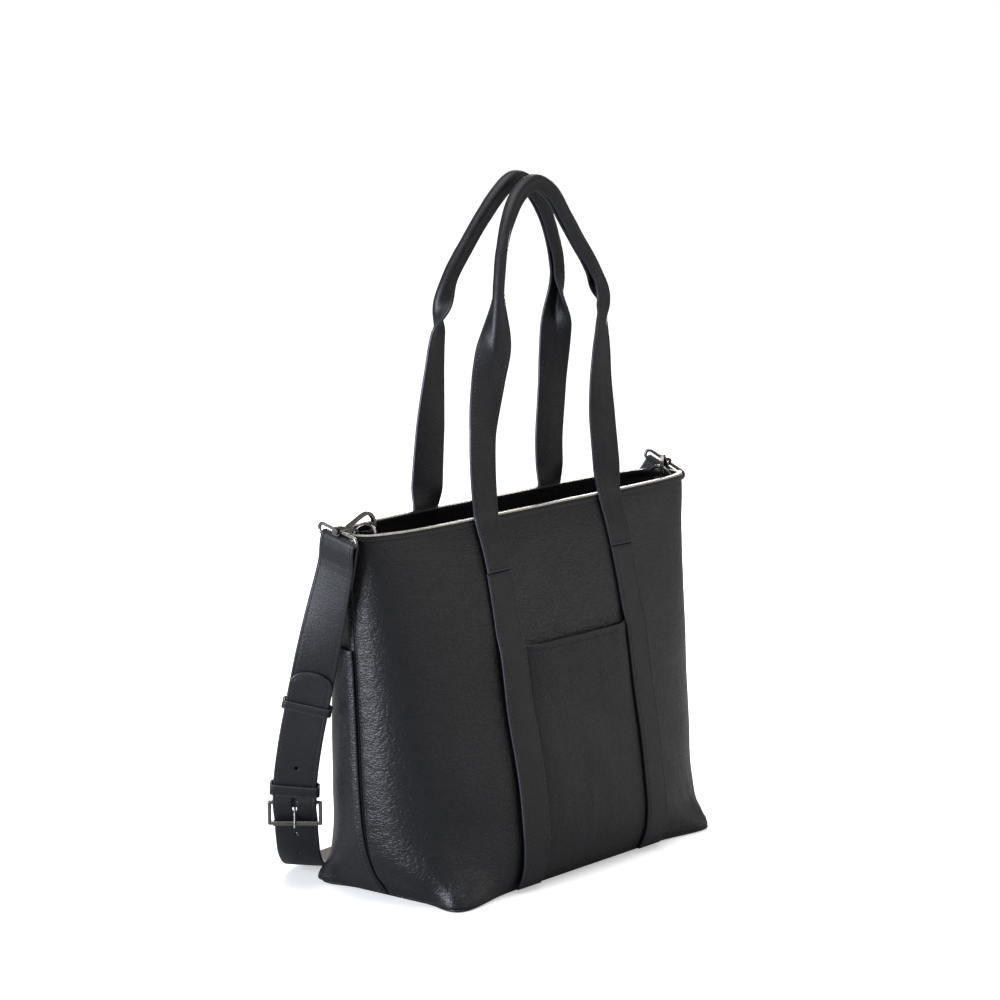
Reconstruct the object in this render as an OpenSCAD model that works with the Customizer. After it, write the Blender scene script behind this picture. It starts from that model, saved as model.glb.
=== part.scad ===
// Diaper bag: a boxed tote of soft leather with two shoulder handles and a detachable
// cross-body strap. Millimetres. The origin is the middle of the base, on the surface
// that the bag stands on. +X runs along the width, the front faces -Y, and +Z is up.

/* [Body] */
// Height of the rim above the base
bag_h = 328; // [324:1:332]
// Width at the rim
rim_w = 458; // [452:1:464]
// Width of the base
base_w = 360; // [354:1:366]
// Depth of the base, front to back
base_d = 146; // [142:1:150]
// Opening of the rim, front to back
rim_d = 60; // [56:1:64]
// Thickness of the outer panels
panel_t = 2.6; // [2.2:0.1:3]
// Height of the front pocket's mouth
front_pocket_h = 214; // [208:1:220]
// Height of the back pocket's mouth
back_pocket_h = 226; // [220:1:230]

/* [Handles and strips] */
// Width of the handle straps and of the strips sewn down the panels
strip_w = 32; // [30:1:34]
// Distance of each strip's middle from the middle of the bag
strip_x = 88; // [86:1:90]
// Thickness of a strip
strip_t = 2.8; // [2.4:0.1:3.2]
// Height of the folded grip's middle line at the top of the handle
grip_top = 611; // [606:1:614]
// Width of the folded grip
grip_w = 17; // [16:1:18]

/* [Cross-body strap] */
// Width of the strap
strap_w = 38; // [36:1:38]
// Thickness of one layer of the strap
strap_t = 3; // [2.6:0.1:3]

/* [Hardware] */
// Radius of the D-ring wire
ring_wire = 1.7; // [1.5:0.1:1.7]
// Radius of a D-ring's arch, to the middle of the wire
ring_r = 12; // [11.8:0.1:12.1]
// Running clearance between a pin and its bore
fit = 0.05; // [0.03:0.01:0.08]

/* [Hidden] */
$fn = 48;

gap = 0.3;          // air between pieces that don't touch
facing_t = 1.4;     // leather facing inside the rim
lining_t = 0.8;     // fabric lining
facing_h = 50;      // depth of the facing below the rim
bind_t = 0.8;       // how far the binding stands out from the panels
bind_h = 7;         // depth of the binding down the rim
floor_z = 3;        // top of the base panel
pocket_t = 2;       // thickness of the pocket sheets
pocket_gap = 7;     // opening of a pocket's mouth
hinge_z = bag_h + 3;

leather = [0.10, 0.10, 0.11];
cloth = [0.30, 0.31, 0.34];
gunmetal = [0.36, 0.37, 0.39];

// Height, half width, half depth, squareness and backward lean of the body's outline.
// The base is a boxed rectangle, the belly is fullest low down and the rim is a slot.
PROFILE = [
    [0, base_w / 2, base_d / 2, 9, 0],
    [12, base_w / 2 + 10, base_d / 2 + 7.5, 5.5, 0],
    [28, base_w / 2 + 23, base_d / 2 + 13, 3.8, 0],
    [55, base_w / 2 + 33, base_d / 2 + 15, 2.7, 0],
    [100, base_w / 2 + 38, base_d / 2 + 10, 2.5, 0.5],
    [160, rim_w / 2 - 8.5, base_d / 2 - 1.5, 2.5, 1],
    [230, rim_w / 2 - 5, rim_d / 2 + 28, 2.6, 2],
    [290, rim_w / 2 - 1.5, rim_d / 2 + 13.5, 3, 3],
    [bag_h, rim_w / 2, rim_d / 2, 4, 3]];

// ---- smooth reading of a table of stations --------------------------------------------

function row_of(x, T, i = 0) = i >= len(T) - 2 || x < T[i + 1][0] ? i : row_of(x, T, i + 1);
function slope(T, i, c) = let(a = max(i - 1, 0), b = min(i + 1, len(T) - 1))
    (T[b][c] - T[a][c]) / (T[b][0] - T[a][0]);
function smooth(x, T, c) = let(
    i = row_of(x, T), h = T[i + 1][0] - T[i][0], t = (x - T[i][0]) / h)
    (2 * t ^ 3 - 3 * t ^ 2 + 1) * T[i][c] + (t ^ 3 - 2 * t ^ 2 + t) * h * slope(T, i, c)
    + (3 * t ^ 2 - 2 * t ^ 3) * T[i + 1][c] + (t ^ 3 - t ^ 2) * h * slope(T, i + 1, c);

// ---- the body's surface ------------------------------------------------------------------

// A point of the outline at height z, in direction a, moved outwards by o.
function wall(z, a, o = 0) = let(
    n = smooth(z, PROFILE, 3),
    r = (abs(cos(a)) ^ n + abs(sin(a)) ^ n) ^ (-1 / n))
    [(smooth(z, PROFILE, 1) + o) * cos(a) * r,
     smooth(z, PROFILE, 4) + (smooth(z, PROFILE, 2) + o) * sin(a) * r, z];

// The front (side = -1) or back (side = 1) of the body at x and z, moved outwards by o.
function face_y(x, z, side, o = 0) = let(
    n = smooth(z, PROFILE, 3),
    q = min(1, abs(x) / (smooth(z, PROFILE, 1) + o)))
    smooth(z, PROFILE, 4) + side * (smooth(z, PROFILE, 2) + o) * (1 - q ^ n) ^ (1 / n);

function steps(a, b, n) = [for (i = [0:n]) a + (b - a) * i / n];
function unit(v) = v / norm(v);

// ---- solids from grids of points ---------------------------------------------------------

function quad(a, b, c, d) = [[a, b, c], [a, c, d]];
function volume6(p, t) = [for (f = t) p[f[0]] * cross(p[f[1]], p[f[2]])] * [for (f = t) 1];
function outwards(p, t) = volume6(p, t) > 0 ? [for (f = t) [f[0], f[2], f[1]]] : t;

// A sheet with the faces A and B, both grids of rows of points. With wrap, each row closes
// on itself. hole = [first row, last row, first column, last column] leaves a slot.
module sheet(A, B, wrap = false, hole = [-1, -1, -1, -1]) {
    r = len(A);
    c = len(A[0]);
    n = r * c;
    last = wrap ? c - 1 : c - 2;
    points = concat([for (q = A) each q], [for (q = B) each q]);
    function k(i, j) = i * c + j % c;
    function open(i, j) = i >= hole[0] && i < hole[1] && j >= hole[2] && j < hole[3];
    faces = concat(
        [for (i = [0:r - 2]) for (j = [0:last]) if (!open(i, j)) each concat(
            quad(k(i, j), k(i, j + 1), k(i + 1, j + 1), k(i + 1, j)),
            quad(n + k(i, j), n + k(i + 1, j), n + k(i + 1, j + 1), n + k(i, j + 1)))],
        [for (j = [0:last]) each concat(
            quad(k(0, j + 1), k(0, j), n + k(0, j), n + k(0, j + 1)),
            quad(k(r - 1, j), k(r - 1, j + 1), n + k(r - 1, j + 1), n + k(r - 1, j)))],
        wrap ? [] : [for (i = [0:r - 2]) each concat(
            quad(k(i, 0), k(i + 1, 0), n + k(i + 1, 0), n + k(i, 0)),
            quad(k(i + 1, c - 1), k(i, c - 1), n + k(i, c - 1), n + k(i + 1, c - 1)))],
        hole[0] < 0 ? [] : [for (j = [hole[2]:hole[3] - 1]) each concat(
            quad(k(hole[0], j), k(hole[0], j + 1), n + k(hole[0], j + 1), n + k(hole[0], j)),
            quad(k(hole[1], j + 1), k(hole[1], j), n + k(hole[1], j), n + k(hole[1], j + 1)))],
        hole[0] < 0 ? [] : [for (i = [hole[0]:hole[1] - 1]) each concat(
            quad(k(i + 1, hole[2]), k(i, hole[2]), n + k(i, hole[2]), n + k(i + 1, hole[2])),
            quad(k(i, hole[3]), k(i + 1, hole[3]), n + k(i + 1, hole[3]), n + k(i, hole[3])))]);
    polyhedron(points, outwards(points, faces), convexity = 6);
}

// A solid through a list of rings of points. Triangles round its middle point close each end.
module loft(rings) {
    m = len(rings[0]);
    r = len(rings);
    function middle(ring) = [for (q = ring) 1] * ring / m;
    points = concat([for (q = rings) each q], [middle(rings[0]), middle(rings[r - 1])]);
    faces = concat(
        [for (i = [0:r - 2]) for (j = [0:m - 1]) each quad(
            i * m + j, i * m + (j + 1) % m, (i + 1) * m + (j + 1) % m, (i + 1) * m + j)],
        [for (j = [0:m - 1]) [r * m, (j + 1) % m, j]],
        [for (j = [0:m - 1]) [r * m + 1, (r - 1) * m + j, (r - 1) * m + (j + 1) % m]]);
    polyhedron(points, outwards(points, faces), convexity = 6);
}

// ---- body ----------------------------------------------------------------------------------

facing_z = bag_h - facing_h;
bind_z = bag_h - bind_h;
Z_WALL = [floor_z, 8, 14, 22, 30, 42, 55, 72, 90, 115, 140, 170, 200, 230, 256];
Z_TOP = [facing_z, facing_z + 16, facing_z + 32, bind_z];
half_turn = 34;   // directions in half of the outline
function ring_at(z, o, n = 2 * half_turn) = [for (i = [0:n - 1]) wall(z, 360 * i / n, o)];

// Half of the body's wall between two offsets, from side seam to side seam.
module half_wall(side, z_list, outer, inner) {
    turn = steps(side < 0 ? 180 : 0, side < 0 ? 360 : 180, half_turn);
    sheet([for (z = z_list) [for (a = turn) wall(z, a, outer)]],
          [for (z = z_list) [for (a = turn) wall(z, a, inner)]]);
}

// A flat plate with the body's outline at height z, moved outwards by o.
module outline_plate(z, o, t) linear_extrude(t) polygon([for (p = ring_at(z, o)) [p[0], p[1]]]);

module bottom_panel() color(leather) outline_plate(0, 0, floor_z);

module base_board() color(cloth) translate([0, 0, floor_z + gap])
    outline_plate(floor_z, -panel_t - 3, 2.4);

module front_panel() color(leather)
    half_wall(-1, concat(Z_WALL, Z_TOP), 0, -panel_t);

module back_panel() color(leather)
    half_wall(1, concat(Z_WALL, Z_TOP), 0, -panel_t);

// The binding wraps the top of the panels and the facing.
module rim_binding() color(leather) {
    z_list = [bind_z, bag_h - 3, bag_h - 0.8, bag_h];
    out = [0, bind_t, bind_t, -0.4];
    in = panel_t + gap + facing_t + 0.4;
    sheet([for (i = [0:3]) ring_at(z_list[i], out[i])],
          [for (i = [0:3]) ring_at(z_list[i], i == 3 ? -in + 0.4 : -in)], wrap = true);
}

facing_in = panel_t + gap + facing_t;   // from the outer face to the facing's inner face
module top_facing() color(leather)
    sheet([for (z = Z_TOP) ring_at(z, -panel_t - gap)],
          [for (z = Z_TOP) ring_at(z, -facing_in)], wrap = true);

// A sack: the outer rings from the floor up, then the inner rings down to its own floor.
module lining() color(cloth) {
    sack_z = floor_z + 3.2;
    z_list = [14, 22, 30, 42, 55, 72, 90, 115, 140, 170, 200, 230, 256, facing_z - gap];
    o = -panel_t - gap;
    loft(concat(
        [ring_at(sack_z, o - 1)], [for (z = z_list) ring_at(z, o)],
        [for (i = [len(z_list) - 1:-1:0]) ring_at(z_list[i], o - lining_t)],
        [ring_at(sack_z + 0.8, o - 1.8)]));
}

// ---- outer pockets and strips -----------------------------------------------------------

module front_pocket() {
    half = strip_x - strip_w / 2;
    x_list = concat([-half - 6], steps(-half, half, 14), [half + 6]);
    z_list = [floor_z, 8, 14, 22, 30, 42, 55, 72, 90, 115, 140, 170, 200, front_pocket_h];
    function off(x, z) = gap
        + (pocket_gap - gap) * (1 - min(1, abs(x) / half) ^ 8) * (z / front_pocket_h);
    color(leather)
    sheet([for (z = z_list) [for (x = x_list) [x, face_y(x, z, -1, off(x, z) + pocket_t), z]]],
          [for (z = z_list) [for (x = x_list) [x, face_y(x, z, -1, off(x, z)), z]]]);
}

// One sheet over the whole back. The strips sewn over it divide it into three bays.
module back_pocket() {
    inner = strip_x - strip_w / 2 - 6;
    outer = strip_x + strip_w / 2 + 6;
    z_list = [floor_z, 8, 14, 22, 30, 42, 55, 72, 90, 115, 140, 170, 200, back_pocket_h];
    turn = steps(0, 180, 2 * half_turn);
    function bay(x) = let(q = abs(x))
        q < inner ? 1 - (q / inner) ^ 6 : q < outer ? 0
        : 1 - abs(2 * (q - outer) / (rim_w / 2 - outer) - 1) ^ 4;
    function off(a, z) = let(x = wall(z, a)[0])
        gap + (pocket_gap - gap) * max(0, bay(x)) * z / back_pocket_h;
    color(leather)
    sheet([for (z = z_list) [for (a = turn) wall(z, a, off(a, z) + pocket_t)]],
          [for (z = z_list) [for (a = turn) wall(z, a, off(a, z))]]);
}

// A strip sewn down a panel, standing off it by lift, between two heights.
module panel_strip(x_mid, side, z_list, lift, t) {
    x_list = steps(x_mid - strip_w / 2, x_mid + strip_w / 2, 4);
    sheet([for (z = z_list) [for (x = x_list) [x, face_y(x, z, side, lift + t), z]]],
          [for (z = z_list) [for (x = x_list) [x, face_y(x, z, side, lift), z]]]);
}

handle_end = bag_h - 48;   // foot of the handle ends, sewn over the strips
Z_STRIP = [floor_z, 8, 14, 22, 32, 44, 58, 76, 100, 130, 165, 200, 235, 262];
strip_lift = pocket_t + 2 * gap;

module panel_strips(side, x_sign) color(leather)
    panel_strip(x_sign * strip_x, side, concat(Z_STRIP, [handle_end - gap]), strip_lift, strip_t);

module front_left_strip() panel_strips(-1, -1);
module front_right_strip() panel_strips(-1, 1);
module back_left_strip() panel_strips(1, -1);
module back_right_strip() panel_strips(1, 1);

module handle_ends(side) color(leather) for (x_sign = [-1, 1])
    panel_strip(x_sign * strip_x, side, [handle_end, 290, 302, 314, bag_h, hinge_z - gap],
        bind_t + gap, strip_t);
module front_handle_ends() handle_ends(-1);
module back_handle_ends() handle_ends(1);

// ---- handles -----------------------------------------------------------------------------

// Each handle's middle line from its left foot over the top to its right foot: x, z, lean
// towards the other handle, width, thickness.
FRONT_HANDLE = [
    [-strip_x, hinge_z, 0, strip_w, 3.2],
    [-92, 375, 0, strip_w, 3.4],
    [-90, 408, 1, strip_w, 3.5],
    [-82, 445, 2, strip_w, 3.8],
    [-70, 480, 4, strip_w - 2, 6],
    [-62, 515, 7, grip_w - 1, 10],
    [-56, 537, 10, grip_w, 12],
    [-49, 557, 13, grip_w, 12],
    [-37, 580, 16.5, grip_w, 12],
    [-21, 599, 20, grip_w, 12],
    [-3, grip_top - 1, 21.5, grip_w, 12],
    [12, grip_top, 22, grip_w, 12],
    [28, 601, 20, grip_w, 12],
    [42, 580, 16.5, grip_w, 12],
    [57, 557, 13, grip_w, 12],
    [71, 537, 10, grip_w, 12],
    [82, 515, 7, grip_w, 11],
    [86, 497, 5, 22, 8],
    [83, 478, 4, strip_w - 1, 5],
    [79, 455, 2, strip_w, 3.8],
    [77, 428, 1, strip_w, 3.6],
    [79, 400, 1, strip_w, 3.5],
    [82, 370, 0, strip_w, 3.4],
    [strip_x, hinge_z, 0, strip_w, 3.2]];
BACK_HANDLE = [
    [-strip_x, hinge_z, 0, strip_w, 3.2],
    [-84, 375, 0, strip_w, 3.4],
    [-80, 425, 1, strip_w, 3.6],
    [-77, 468, 3, strip_w - 1, 4.6],
    [-76, 494, 5, 25, 8],
    [-71, 515, 7, grip_w + 1, 11],
    [-61, 537, 10, grip_w, 12],
    [-47, 557, 13, grip_w, 12],
    [-30, 580, 16.5, grip_w, 12],
    [-14, 599, 20, grip_w, 12],
    [3, grip_top + 1, 21.5, grip_w, 12],
    [18, grip_top + 2, 22, grip_w, 12],
    [38, 601, 20, grip_w, 12],
    [59, 580, 16.5, grip_w, 12],
    [74, 557, 13, grip_w, 12],
    [84, 537, 10, grip_w, 12],
    [90, 515, 7, grip_w + 1, 11],
    [91, 494, 5, 25, 8],
    [92, 470, 3, strip_w - 1, 4.6],
    [92, 440, 1, strip_w, 3.6],
    [90, 405, 0, strip_w, 3.5],
    [87, 370, 0, strip_w, 3.4],
    [strip_x, hinge_z, 0, strip_w, 3.2]];
handle_base_y = rim_d / 2 + bind_t + gap + strip_t / 2;

module handle(side, rows) color(leather) {
    n = len(rows);
    loft([for (i = [0:n - 1]) let(
        h = rows[i],
        d = i == 0 || i == n - 1 ? [0, i == 0 ? 1 : -1]
            : unit([rows[i + 1][0] - rows[i - 1][0], rows[i + 1][1] - rows[i - 1][1]]),
        y = PROFILE[len(PROFILE) - 1][4] + side * (handle_base_y - h[2]))
        [for (a = [15:30:345]) let(
            p = 4, r = (abs(cos(a)) ^ p + abs(sin(a)) ^ p) ^ (-1 / p),
            u = h[3] / 2 * cos(a) * r, v = h[4] / 2 * sin(a) * r)
            [h[0] + d[1] * u, y + v, h[1] - d[0] * u]]]);
}
module front_handle() handle(-1, FRONT_HANDLE);
module back_handle() handle(1, BACK_HANDLE);

// ---- inside ------------------------------------------------------------------------------

inside = panel_t + gap + lining_t;     // from the outer face to the lining's inner face

// Two elastic-topped pockets on the front wall, joined by a seam in the middle.
module inner_slip_pockets() {
    half = 130;
    z_list = [60, 80, 105, 130, 150, 168];
    x_list = steps(-half, half, 26);
    function off(x, z) = inside + gap
        + 14 * (1 - abs(2 * abs(x) / half - 1) ^ 6) * ((z - 60) / 108) ^ 0.6;
    color(cloth)
    sheet([for (z = z_list) [for (x = x_list) [x, face_y(x, z, -1, -off(x, z)), z]]],
          [for (z = z_list) [for (x = x_list) [x, face_y(x, z, -1, -off(x, z) - 1.2), z]]]);
}

zip_z = 244;              // height of the zip on the back wall
zip_len = 160;
tape_t = 1.2;
// Front face of the zip tape, which is straight and clears the wall at its two ends.
zip_y = face_y(zip_len / 2 + 6, zip_z, 1, -inside) - tape_t - 2 * gap;
teeth_t = 1.1;            // how far the teeth stand off the tape
slider_x = -zip_len / 2 + 9;
// The lean of the back wall from the vertical at height z.
function wall_lean(z) = atan((face_y(0, z - 5, 1) - face_y(0, z + 5, 1)) / 10);
module zip_space() translate([0, zip_y, zip_z]) rotate([wall_lean(zip_z), 0, 0]) children();

module inner_zip_pocket() color(cloth) {
    z_list = [120, 150, 180, 210, zip_z - 12];
    x_list = steps(-zip_len / 2, zip_len / 2, 12);
    sheet([for (z = z_list) [for (x = x_list) [x, face_y(x, z, 1, -inside - gap), z]]],
          [for (z = z_list) [for (x = x_list) [x, face_y(x, z, 1, -inside - gap - 2), z]]]);
}

module zip_tape() color(leather) zip_space() {
    translate([-zip_len / 2 - 6, 0, -11.5]) cube([zip_len + 12, tape_t, 23]);
    translate([-zip_len / 2, -teeth_t, -2.5]) cube([zip_len, teeth_t, 5]);
}

slider_front = -teeth_t - gap;   // the slider's plate slides this far off the tape
bail_r = 0.8;
bail = slider_front - 3.6;       // middle of the bar that holds the pull

// The slider is drawn at the closed end of the zip. Its front plate has a flange each side
// of the teeth and two ears that hold the pull's bar.
module zip_slider() color(gunmetal) zip_space() translate([slider_x, 0, 0]) {
    translate([-6, slider_front - 1.6, -4.4]) cube([12, 1.6, 8.8]);
    for (s = [-1, 1]) translate([-6, slider_front, s * 3.6 - 0.8]) cube([12, teeth_t - gap, 1.6]);
    for (s = [-1, 1]) translate([s * 3 - 0.6, bail - 1.4, -1.4])
        cube([1.2, slider_front - 1.5 - bail + 1.4, 2.8]);
    translate([0, bail, 0]) rotate([0, 90, 0]) cylinder(r = bail_r, h = 7, center = true);
}

// The pull hangs straight down from the slider's bar.
module zip_pull() color(gunmetal) zip_space() translate([slider_x, bail, 0])
    rotate([-wall_lean(zip_z), 0, 0]) difference() {
        union() {
            rotate([0, 90, 0]) cylinder(r = 1.6, h = 4, center = true);
            translate([-2, -0.8, -12]) cube([4, 1.6, 11]);
            translate([-4, -0.8, -34]) cube([8, 1.6, 23]);
        }
        rotate([0, 90, 0]) cylinder(r = bail_r + fit, h = 9, center = true);
    }

// The two halves of the magnetic snap face each other from the facing.
snap_z = bag_h - 26;
snap_r = 9;
snap_t = 2.4;
stud_r = 3.4;
module snap_space(side) translate([0, face_y(0, snap_z, side, -facing_in - 2 * gap), snap_z])
    rotate([side * (90 + wall_lean(snap_z)), 0, 0]) children();
module snap_stud() color(gunmetal) snap_space(-1) {
    cylinder(r = snap_r, h = snap_t);
    cylinder(r = stud_r, h = snap_t + 2);
}
module snap_socket() color(gunmetal) snap_space(1) difference() {
    cylinder(r = snap_r, h = snap_t);
    translate([0, 0, snap_t - 1.6]) cylinder(r = stud_r + gap, h = 2);
}

// ---- D-rings and their tabs ----------------------------------------------------------------

ring_x = rim_w / 2 - 15;       // the ring's bar, inside each end of the rim
ring_y = 0.3;
ring_z = bag_h - 11;
ring_leg = 5;                  // straight part between the bar and the arch
ring_lean = 22;                // the rings lean inwards
tab_w = 19;

module d_ring(side) color(gunmetal)
    translate([side * ring_x, ring_y, ring_z]) rotate([0, -side * ring_lean, 0]) {
        rotate([90, 0, 0]) cylinder(r = ring_wire, h = 2 * ring_r, center = true);
        for (s = [-1, 1]) translate([0, s * ring_r, 0]) {
            cylinder(r = ring_wire, h = ring_leg);
            sphere(r = ring_wire);
        }
        translate([0, 0, ring_leg]) rotate([90, 0, 90]) rotate_extrude(angle = 180)
            translate([ring_r, 0]) circle(r = ring_wire);
    }
module left_d_ring() d_ring(-1);
module right_d_ring() d_ring(1);

// A leather tab folded round the ring's bar and sewn inside the end of the bag.
module ring_tab(side) color(leather) translate([side * ring_x, ring_y, ring_z]) difference() {
    union() {
        rotate([90, 0, 0]) cylinder(r = ring_wire + fit + 1.6, h = tab_w, center = true);
        translate([-2, -tab_w / 2, -34]) cube([4, tab_w, 34]);
    }
    rotate([90, 0, 0]) cylinder(r = ring_wire + fit, h = tab_w + 2, center = true);
}
module left_ring_tab() ring_tab(-1);
module right_ring_tab() ring_tab(1);

// ---- swivel snap hooks -----------------------------------------------------------------------

// Place of each swivel, the turn of its hook about +Z, and the roll of its strap loop.
SWIVEL = [[-240, 0, bag_h + 4.6], [236.8, 13, bag_h + 4.6]];
hook_turn = [0, 210];
hook_rise = 1;
loop_roll = [15, -33];

stem_r = 2;
loop_in = strap_w + 1.5;       // inner width of the strap loop
loop_wire = 1.5;
loop_drop = 8;                 // from the loop's upper bar to its lower bar
claw_t = 3.2;
GATE_PIN = [9.5, -1.2];        // along and across the hook

// In a hook's own space +X runs from the swivel to the nose and +Z is its back.
module hook_space(i) translate(SWIVEL[i]) rotate([0, -hook_rise, hook_turn[i]]) children();

// A flat bar of one width that follows a line of points in the XZ plane.
module bar_along(points, w, t) {
    n = len(points);
    function side_of(i) = let(d = unit(points[min(i + 1, n - 1)] - points[max(i - 1, 0)]))
        [-d[1], d[0]] * w / 2;
    rotate([90, 0, 0]) linear_extrude(t, center = true) polygon(concat(
        [for (i = [0:n - 1]) points[i] + side_of(i)],
        [for (i = [n - 1:-1:0]) points[i] - side_of(i)]));
}

module snap_claw(i) color(gunmetal) hook_space(i) difference() {
    union() {
        rotate([0, 90, 0]) translate([0, 0, -9.3]) cylinder(r = stem_r, h = 12);
        rotate([0, 90, 0]) translate([0, 0, -10.4]) cylinder(r = 3, h = 1.4);
        rotate([0, 90, 0]) translate([0, 0, -1.4]) cylinder(r = 3, h = 5);
        bar_along([[3, 0.2], [14, 4.4], [24, 8.4], [28, 9.5], [31.5, 9.8], [35.5, 8.4],
            [38.6, 5.2], [40.2, 1.2], [39.8, -2.4], [38.8, -6]], 3, claw_t);
        bar_along([[2, -0.6], [GATE_PIN[0] + 2.4, -0.8]], 4.4, claw_t + 2.4);
    }
    translate([6.6, -claw_t / 2 + 0.2, -4.4]) cube([8, claw_t - 0.4, 6.4]);
    translate([GATE_PIN[0], 0, GATE_PIN[1]]) rotate([90, 0, 0])
        cylinder(r = 0.9, h = 9, center = true);
}
module left_snap_claw() snap_claw(0);
module right_snap_claw() snap_claw(1);

module gate_pin(i) color(gunmetal) hook_space(i) translate([GATE_PIN[0], 0, GATE_PIN[1]])
    rotate([90, 0, 0]) cylinder(r = 0.9, h = claw_t + 2.8, center = true);
module left_gate_pin() gate_pin(0);
module right_gate_pin() gate_pin(1);

// The gate closes against the inside of the nose and has a thumb stud underneath.
module snap_gate(i) color(gunmetal) hook_space(i) difference() {
    union() {
        translate([GATE_PIN[0], 0, GATE_PIN[1]]) rotate([90, 0, 0])
            cylinder(r = 1.7, h = 2, center = true);
        bar_along([GATE_PIN, [16.5, -2.6], [22, -5.6], [36.4, -7.6]], 2.2, 2);
        translate([25, 0, -9]) rotate([0, 8, 0]) cylinder(r = 1.3, h = 2.8);
    }
    translate([GATE_PIN[0], 0, GATE_PIN[1]]) rotate([90, 0, 0])
        cylinder(r = 0.9 + fit, h = 4, center = true);
}
module left_snap_gate() snap_gate(0);
module right_snap_gate() snap_gate(1);

// A rounded rectangular loop with a boss that holds the swivel's stem.
module strap_loop(i) color(gunmetal) hook_space(i) translate([-5, 0, 0])
    rotate([loop_roll[i], 0, 0]) {
        half = loop_in / 2 + loop_wire - loop_drop / 2;
        for (z = [0, -loop_drop]) translate([0, 0, z]) difference() {
            rotate([90, 0, 0]) cylinder(r = loop_wire, h = 2 * half, center = true);
            if (z == 0) translate([-5, -3.9, -4]) cube([10, 7.8, 8]);
        }
        for (s = [-1, 1]) translate([0, s * half, -loop_drop / 2]) rotate([90, 0, s > 0 ? 90 : -90])
            rotate([0, 0, -90]) rotate_extrude(angle = 180) translate([loop_drop / 2, 0])
                circle(r = loop_wire);
        difference() {
            rotate([0, 90, 0]) cylinder(r = 4.2, h = 6, center = true);
            rotate([0, 90, 0]) cylinder(r = stem_r + fit, h = 8, center = true);
        }
    }
module left_strap_loop() strap_loop(0);
module right_strap_loop() strap_loop(1);

// ---- cross-body strap ------------------------------------------------------------------------

// Places along the strap's middle line, from the left loop down to the buckle, behind the
// bag along the floor, and up to the right loop: x, y, z, the turn of its width about +Z,
// and how far the long piece stands out from that line.
ROUTE = [
    [-245, 0.2, 319.5, 0, 1.7],
    [-245.5, 6, 296, 4, 1.7],
    [-245, 14.5, 266, 12, 1.7],
    [-243.6, 24, 234, 24, 1.7],
    [-242, 32.5, 206, 34, 1.7],
    [-240.4, 42, 174, 34, 1.7],
    [-238.8, 51.5, 142, 34, 1.7],
    [-235.5, 60.5, 110, 36, 1.7],
    [-232.8, 64.5, 93, 38, 1.7],
    [-230.8, 66.6, 83, 38, 3.4],
    [-227, 69, 65, 38, -3.2],
    [-219, 75, 47, 38, -2.5],
    [-202, 88, 27, 36, -1],
    [-178, 104, 11.5, 30, 0],
    [-150, 116, 4.6, 20, 0],
    [-110, 124, 2, 10, 0],
    [-55, 128, 2, 3, 0],
    [0, 129, 2, 0, 0],
    [60, 128, 2, -2, 0],
    [105, 124, 2.2, -6, 0],
    [140, 118, 7.5, -8, 0],
    [163, 111, 22, -4, 0],
    [177, 104, 46, 4, 0],
    [186, 96, 84, 14, 0],
    [193, 87, 130, 24, 0],
    [201, 76, 180, 30, 0],
    [211, 62, 230, 32, 0],
    [222, 46, 272, 31, 0],
    [232, 30, 303, 30, 0],
    [238, 20, 322, 30, 0]];
heel = 9;            // the buckle's heel bar lies at this place
roller_at = 10;      // and its roller at this one
tip = 4;             // the long piece's tip

function spot(i) = [ROUTE[i][0], ROUTE[i][1], ROUTE[i][2]];
function along(i) = let(n = len(ROUTE)) unit(spot(min(i + 1, n - 1)) - spot(max(i - 1, 0)));
function across(i) = let(t = along(i), w = [sin(ROUTE[i][3]), -cos(ROUTE[i][3]), 0])
    unit(w - (w * t) * t);
function out_of(i) = cross(along(i), across(i));

// One end of a strap piece: the place i, moved along the strap by s and out by o.
function strap_row(i, s, o, w) = [for (k = w) spot(i) + s * along(i) + k * across(i) + o * out_of(i)];

half_strap = strap_w / 2;
module buckle_strap() color(leather) {
    w = [-half_strap, 0, half_strap];
    last = heel - 1;
    rows = concat([for (i = [0:last]) [i, 0]], [[heel, -4.6]]);
    sheet([for (r = rows) strap_row(r[0], r[1], -gap / 2, w)],
          [for (r = rows) strap_row(r[0], r[1], -gap / 2 - strap_t, w)]);
}

module long_strap() {
    slot = 2.3;
    w = [-half_strap, -slot, slot, half_strap];
    n = len(ROUTE);
    rows = concat(
        [[tip, 0, 0.62], [tip, 8, 1]],
        [for (i = [tip + 1:heel - 1]) [i, 0, 1]],
        [[heel, -4, 1], [heel, 4, 1]],
        [for (i = [roller_at:n - 1]) [i, 0, 1]]);
    first = heel - tip + 1;
    function off(r) = r[0] == heel && r[1] > 0 ? 1.7 : ROUTE[r[0]][4];
    color(leather)
    sheet([for (r = rows) strap_row(r[0], r[1], off(r) + strap_t / 2, w * r[2])],
          [for (r = rows) strap_row(r[0], r[1], off(r) - strap_t / 2, w * r[2])],
          hole = [first, first + 2, 1, 2]);
}

// A space whose X runs across the strap, Y along it and Z out of it, at place i.
module strap_space(i, s = 0) {
    p = spot(i) + s * along(i);
    x = across(i);
    y = along(i);
    z = cross(x, y);
    multmatrix([[x[0], y[0], z[0], p[0]], [x[1], y[1], z[1], p[1]], [x[2], y[2], z[2], p[2]]])
        children();
}
// Out of the strap is -Z of that space.
layers = strap_t + gap / 2;

module keeper(w) color(leather) difference() {
    cube([strap_w + 5.4, w, 2 * layers + 4.6], center = true);
    cube([strap_w + 1.4, w + 2, 2 * layers + 0.8], center = true);
}
module sliding_keeper() strap_space(5) keeper(8);
module fixed_keeper() strap_space(8, -4) keeper(10);

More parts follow.
